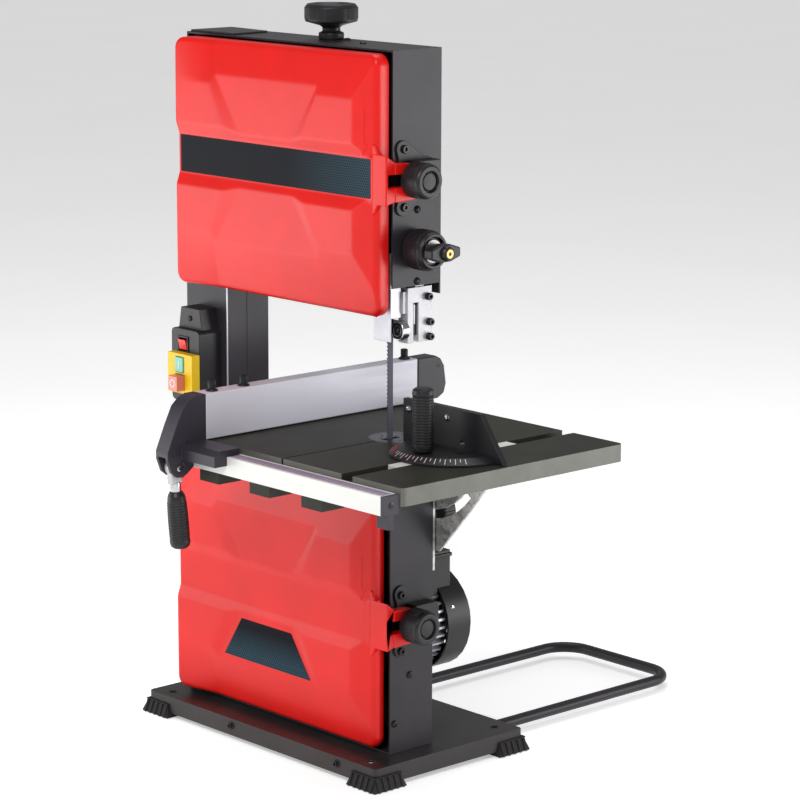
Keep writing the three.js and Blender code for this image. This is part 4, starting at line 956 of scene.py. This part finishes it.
lathe("fence_lever_grip", "z", (FENCE_X, -180, 0), grip, "black", "fence_cam", "black_plastic", 48,
      0.25, tilt=lever_tilt)

# ---- mitre gauge ----
MITRE = (95.7, -4)
top = 349.6  # of the table
SCALE_DROP = 5.2 / 8.4  # slope of the half disc's edge


def mitre_base():
    """A half disc whose arc edge slopes down and outwards to carry the scale."""
    bm = bmesh.new()
    levels = [(61.9, top + 0.5), (61.9, top + 2.2), (53.5, top + 7.4), (52.5, top + 7.5)]
    rings = []
    for radius, z in levels:
        rings.append([bm.verts.new((x, y, z)) for x, y in arc(*MITRE, radius, 180, 360, 60)])
    for a, b in zip(rings, rings[1:]):
        bridge(bm, a, b, closed=False)
    bm.faces.new(rings[0][::-1])
    bm.faces.new(rings[-1])
    bm.faces.new([r[0] for r in rings] + [r[-1] for r in rings[::-1]])
    return finish_piece("mitre_head_base", bm, "black", "mitre_gauge", "black_plastic", angle=25)


base = mitre_base()
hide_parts("mitre_head")
face = prism("mitre_head_face", "y", MITRE[1] - 2, MITRE[1] + 4,
             [(MITRE[0] - 69, top + 0.5), (MITRE[0] + 75, top + 0.5), (MITRE[0] + 42, top + 46.5),
              (MITRE[0] - 69, top + 46.5)], "black", "mitre_gauge", "black_plastic", 0)
tools = [disc("hole", "y", (x, 0, z), 3.4, -20, 20, "black", "mitre_gauge", steps=28)
         for x, z in ((112, 363), (52, 364))]
cut_away(face, join_pieces("mitre_holes", tools))
round_edges(face, 0.5)
for i, x in enumerate((35, 91)):
    screw(f"mitre_face_screw_{i}", (x, MITRE[1] - 2, 386), "-y", 3.8, 2.0, "mitre_gauge", "pan",
          "chrome")
ticks, red_ticks = [], []
for i in range(-12, 13):
    t = math.radians(270 + i * 5)
    low, high = 54.6, (60.6 if i % 2 == 0 else 58.0)
    out = Vector((math.cos(t), math.sin(t), 0))
    side = Vector((-math.sin(t), math.cos(t), 0))
    bm = bmesh.new()
    corners = []
    for lift in (0.02, 0.28):
        for radius in (low, high):
            z = top + 7.4 - (radius - 53.5) * SCALE_DROP + lift
            for wide in (-0.3, 0.3):
                corners.append(bm.verts.new(Vector((*MITRE, z)) + out * radius + side * wide))
    a, b, c, d, e, f, g, h = corners
    for quad in ((a, b, d, c), (e, g, h, f), (a, e, f, b), (c, d, h, g), (a, c, g, e), (b, f, h, d)):
        bm.faces.new(quad)
    row, paint = (red_ticks, "red_print") if i < -5 else (ticks, "print")
    row.append(finish_piece("tick", bm, paint, "mitre_gauge"))
join_pieces("mitre_scale", ticks)
join_pieces("mitre_scale_red", red_ticks)
profile = [(0, top + 0.6), (3, top + 0.6), (3, top + 7.9), (8, top + 7.9), (10, top + 9.5),
           (10.5, top + 13)]
for i in range(17):
    z = top + 14.5 + 2.9 * i
    profile += [(10.5, z), (10.5, z + 1.7), (9.9, z + 2.0), (9.9, z + 2.6)]
profile += [(10.6, top + 64.5), (10.9, top + 66), (10.3, top + 70), (8, top + 71.7), (0, top + 72)]
handle = lathe("mitre_handle_look", "z", (MITRE[0], -43, 0), profile, "black", "mitre_lock",
               "black_plastic", 48, 0.25)
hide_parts("mitre_handle")
disc("mitre_pointer_screw", "z", (MITRE[0] + 26, MITRE[1] - 14, 0), 3, top + 7.3, top + 8.6, "screw",
     "mitre_gauge", bevel=0.3)

# ---- rollers and guide screws ----
def bearing(name, node, axis, centre, radius, width, body):
    half = width / 2
    steps = ((0, 0.8), (0.42, 0.8), (0.45, 0), (0.58, 0), (0.6, 0.5), (0.78, 0.5), (0.8, 0))
    near = [(radius * share, inset - half) for share, inset in steps]
    near += [(radius - 0.4, -half), (radius, 0.4 - half)]
    profile = near + [(r, -h) for r, h in reversed(near)]
    look = lathe(name, axis, centre, profile, "chrome", body, "chrome", 48, 0.15)
    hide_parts(node)


for tag, x in (("right", 10.85), ("left", -10.85)):
    disc(f"{tag}_roller_seal", "y", (x, 4, 461), 7.7, -4.45, -4.1, "screw", tag + "_roller", bevel=0.1)
bearing("right_roller_look", "guide_roller_right", "y", (10.85, 4, 461), 10, 9, "right_roller")
bearing("left_roller_look", "guide_roller_left", "y", (-10.85, 4, 461), 10, 9, "left_roller")
bearing("thrust_roller_look", "thrust_roller", "x", (-2, 12.6, 489), 8, 6, "back_roller")
for tag, x in (("right", 10.85), ("left", -10.85)):
    screw(f"{tag}_roller_bolt", (x, -0.5, 461), "-y", 3.6, 2.2, tag + "_roller", "pan")
for tag, y, z in (("top", 36, 493), ("middle", 38, 467), ("low", 38, 452)):
    screw(f"guide_{tag}_screw", (16.0, y, z), "x", 3.8, 5.5, "guide")

# A black block set inside the guide's slot as painted shadow, so that the slot reads dark.
block("guide_slot_painted_shadow", (9.4, 13.2), (18.2, 24.4), (454.5, 488), "black", "guide", "aluminium", 0.3)
block("guide_slot_tongue", (9.6, 15.2), (17.9, 20.2), (466, 486), "steel", "guide", "aluminium", 0.4)

# ---- screws on the sheet metal ----
for tag, x, y, z in (("upper_a", 20.1, 18, 582.5), ("upper_b", 20.1, 18, 510.6),
                     ("lower_a", 19.1, 11, 104), ("lower_b", 19.1, -10, 56)):
    screw(f"housing_screw_{tag}", (x, y, z), "x", 3.9, 2.4, "frame", "pan")
for tag, y, z, edge in (("upper_high", -1.6, 644, 22.4), ("upper_low", -1.6, 586.5, 22.4),
                        ("lower_high", -3, 191, 21.4), ("lower_low", -3, 132, 21.4)):
    screw(f"ear_screw_{tag}", (edge, y, z), "x", 4.2, 2.6, "frame")
for tag, x, y in (("a", -105, 36), ("b", -61, 18), ("c", -250, -8)):
    screw(f"top_screw_{tag}", (x, y, 741.2), "z", 3.6, 2.2, "frame", "pan")
plate = [(-300, -12), (-229, -12), (-234, 38), (-291, 43), (-300, 43)]
prism("housing_top_plate", "z", 741.2, 743.2, plate, "black_sheet", "frame", "black_sheet", 0.5)
for i, x in enumerate((-185.6, -15.3)):
    screw(f"pan_screw_{i}", (x, -58.5, 15.8), "-y", 4.6, 2.8, "frame", "washer")
for i, (x, y) in enumerate(((-302.8, -44.5), (22, -44.5), (-302.8, 129.7), (22, 129.7))):
    lathe(f"pan_hole_rim_{i}", "z", (x, y, 0), [(4.0, 23.6), (4.4, 24.0), (5.8, 24.0), (6.0, 23.6)],
          "pan", "frame", None, 32, 0.1, closed=True)
screw("rail_cap_screw", (170, -152, 334.5), "x", 3.4, 0.6, "table", "pan")
screw("switch_screw", (-273.5, -38, 441), "-y", 3.2, 1.6, "frame", "pan")
block("column_seam", (-240.3, -239.6), (12.2, 13.4), (292, 480), "black_sheet", "frame", "black_sheet",
      0.1)
# A light strip down the column's front edge: a painted highlight on the black sheet.
block("column_edge_painted_highlight", (-240.6, -239.4), (-15.6, -14.2), (292, 480), "aluminium", "frame", "black_sheet",
      0.2)
for tag, x, z in (("top", (-285, -268), (420.6, 422.6)), ("foot", (-285, -268), (404.4, 406.4)),
                  ("left", (-285, -283.4), (404.4, 422.6)), ("right", (-269.4, -267.6), (404.4, 422.6))):
    block("rocker_bezel_" + tag, x, (-46.2, -44.8), z, *TRIM, 0.4)
block("start_mark", (-270.2, -268.8), (-57.8, -57.4), (389.5, 398.5), "print", "start",
      "green_plastic", 0.1)
lathe("stop_mark", "y", (-269.5, 0, 375), [(3.2, -66.3), (4.4, -66.3), (4.4, -65.9), (3.2, -65.9)],
      "print", "stop", "red_plastic", 40, 0.1, closed=True)

# ---- stage ----
floor_mesh = bpy.data.meshes.new("floor")
floor_corners = [(x, y, -0.0005) for x, y in ((-30, -30), (30, -30), (30, 30), (-30, 30))]
floor_mesh.from_pydata(floor_corners, [], [(0, 1, 2, 3)])
floor = place("floor", floor_mesh)
floor_look = Nodes("floor")
floor_tint = floor_look.ramp(floor_look.noise(2, 3), (0.90, 0.90, 0.90), (0.93, 0.93, 0.93))
floor_look.link(floor_tint, "Base Color")
floor_look.set(Roughness=0.9, Emission_Color=(1, 1, 1, 1), Emission_Strength=0.40)
floor_mesh.materials.append(floor_look.material)

world = bpy.data.worlds.new("studio")
bpy.context.scene.world = world
world.use_nodes = True
background = world.node_tree.nodes["Background"]
background.inputs["Color"].default_value = (1, 1, 1, 1)
background.inputs["Strength"].default_value = 0.30


def area_light(name, at, aim, size, power):
    light = bpy.data.lights.new(name, "AREA")
    light.shape = "RECTANGLE"
    light.size, light.size_y = size
    light.energy = power
    holder = place(name, light)
    holder.visible_camera = False
    holder.location = at
    holder.rotation_euler = (Vector(aim) - Vector(at)).to_track_quat("-Z", "Y").to_euler()


centre = (0, -0.1, 0.4)
area_light("key", (1.5, -2.3, 2.6), centre, (1.1, 1.1), 68)
area_light("low_left", (-0.78, -0.83, 0.38), (-0.06, -0.17, 0.38), (0.9, 0.56), 4.2)
area_light("back_right", (1.45, 1.25, 0.45), (0.1, -0.1, 0.45), (0.9, 0.9), 15)
area_light("top", (-0.6, 0.6, 3.0), centre, (1.6, 1.6), 26)

camera_data = bpy.data.cameras.new("camera")
camera_data.lens = 133.85
camera_data.sensor_width = 36
camera_data.clip_end = 100
camera = place("camera", camera_data)
azimuth, elevation, roll = math.radians(47.626), math.radians(11.436), math.radians(0.183)
camera.location = ORIGIN + Vector((2.1723, -1.9679, 0.982))
look_from = Vector((math.sin(azimuth) * math.cos(elevation), -math.cos(azimuth) * math.cos(elevation),
                    math.sin(elevation)))
turn = (-look_from).to_track_quat("-Z", "Y").to_matrix() @ Matrix.Rotation(roll, 3, "Z")
camera.rotation_euler = turn.to_euler()
bpy.context.scene.camera = camera
bpy.context.scene.view_settings.view_transform = "Standard"
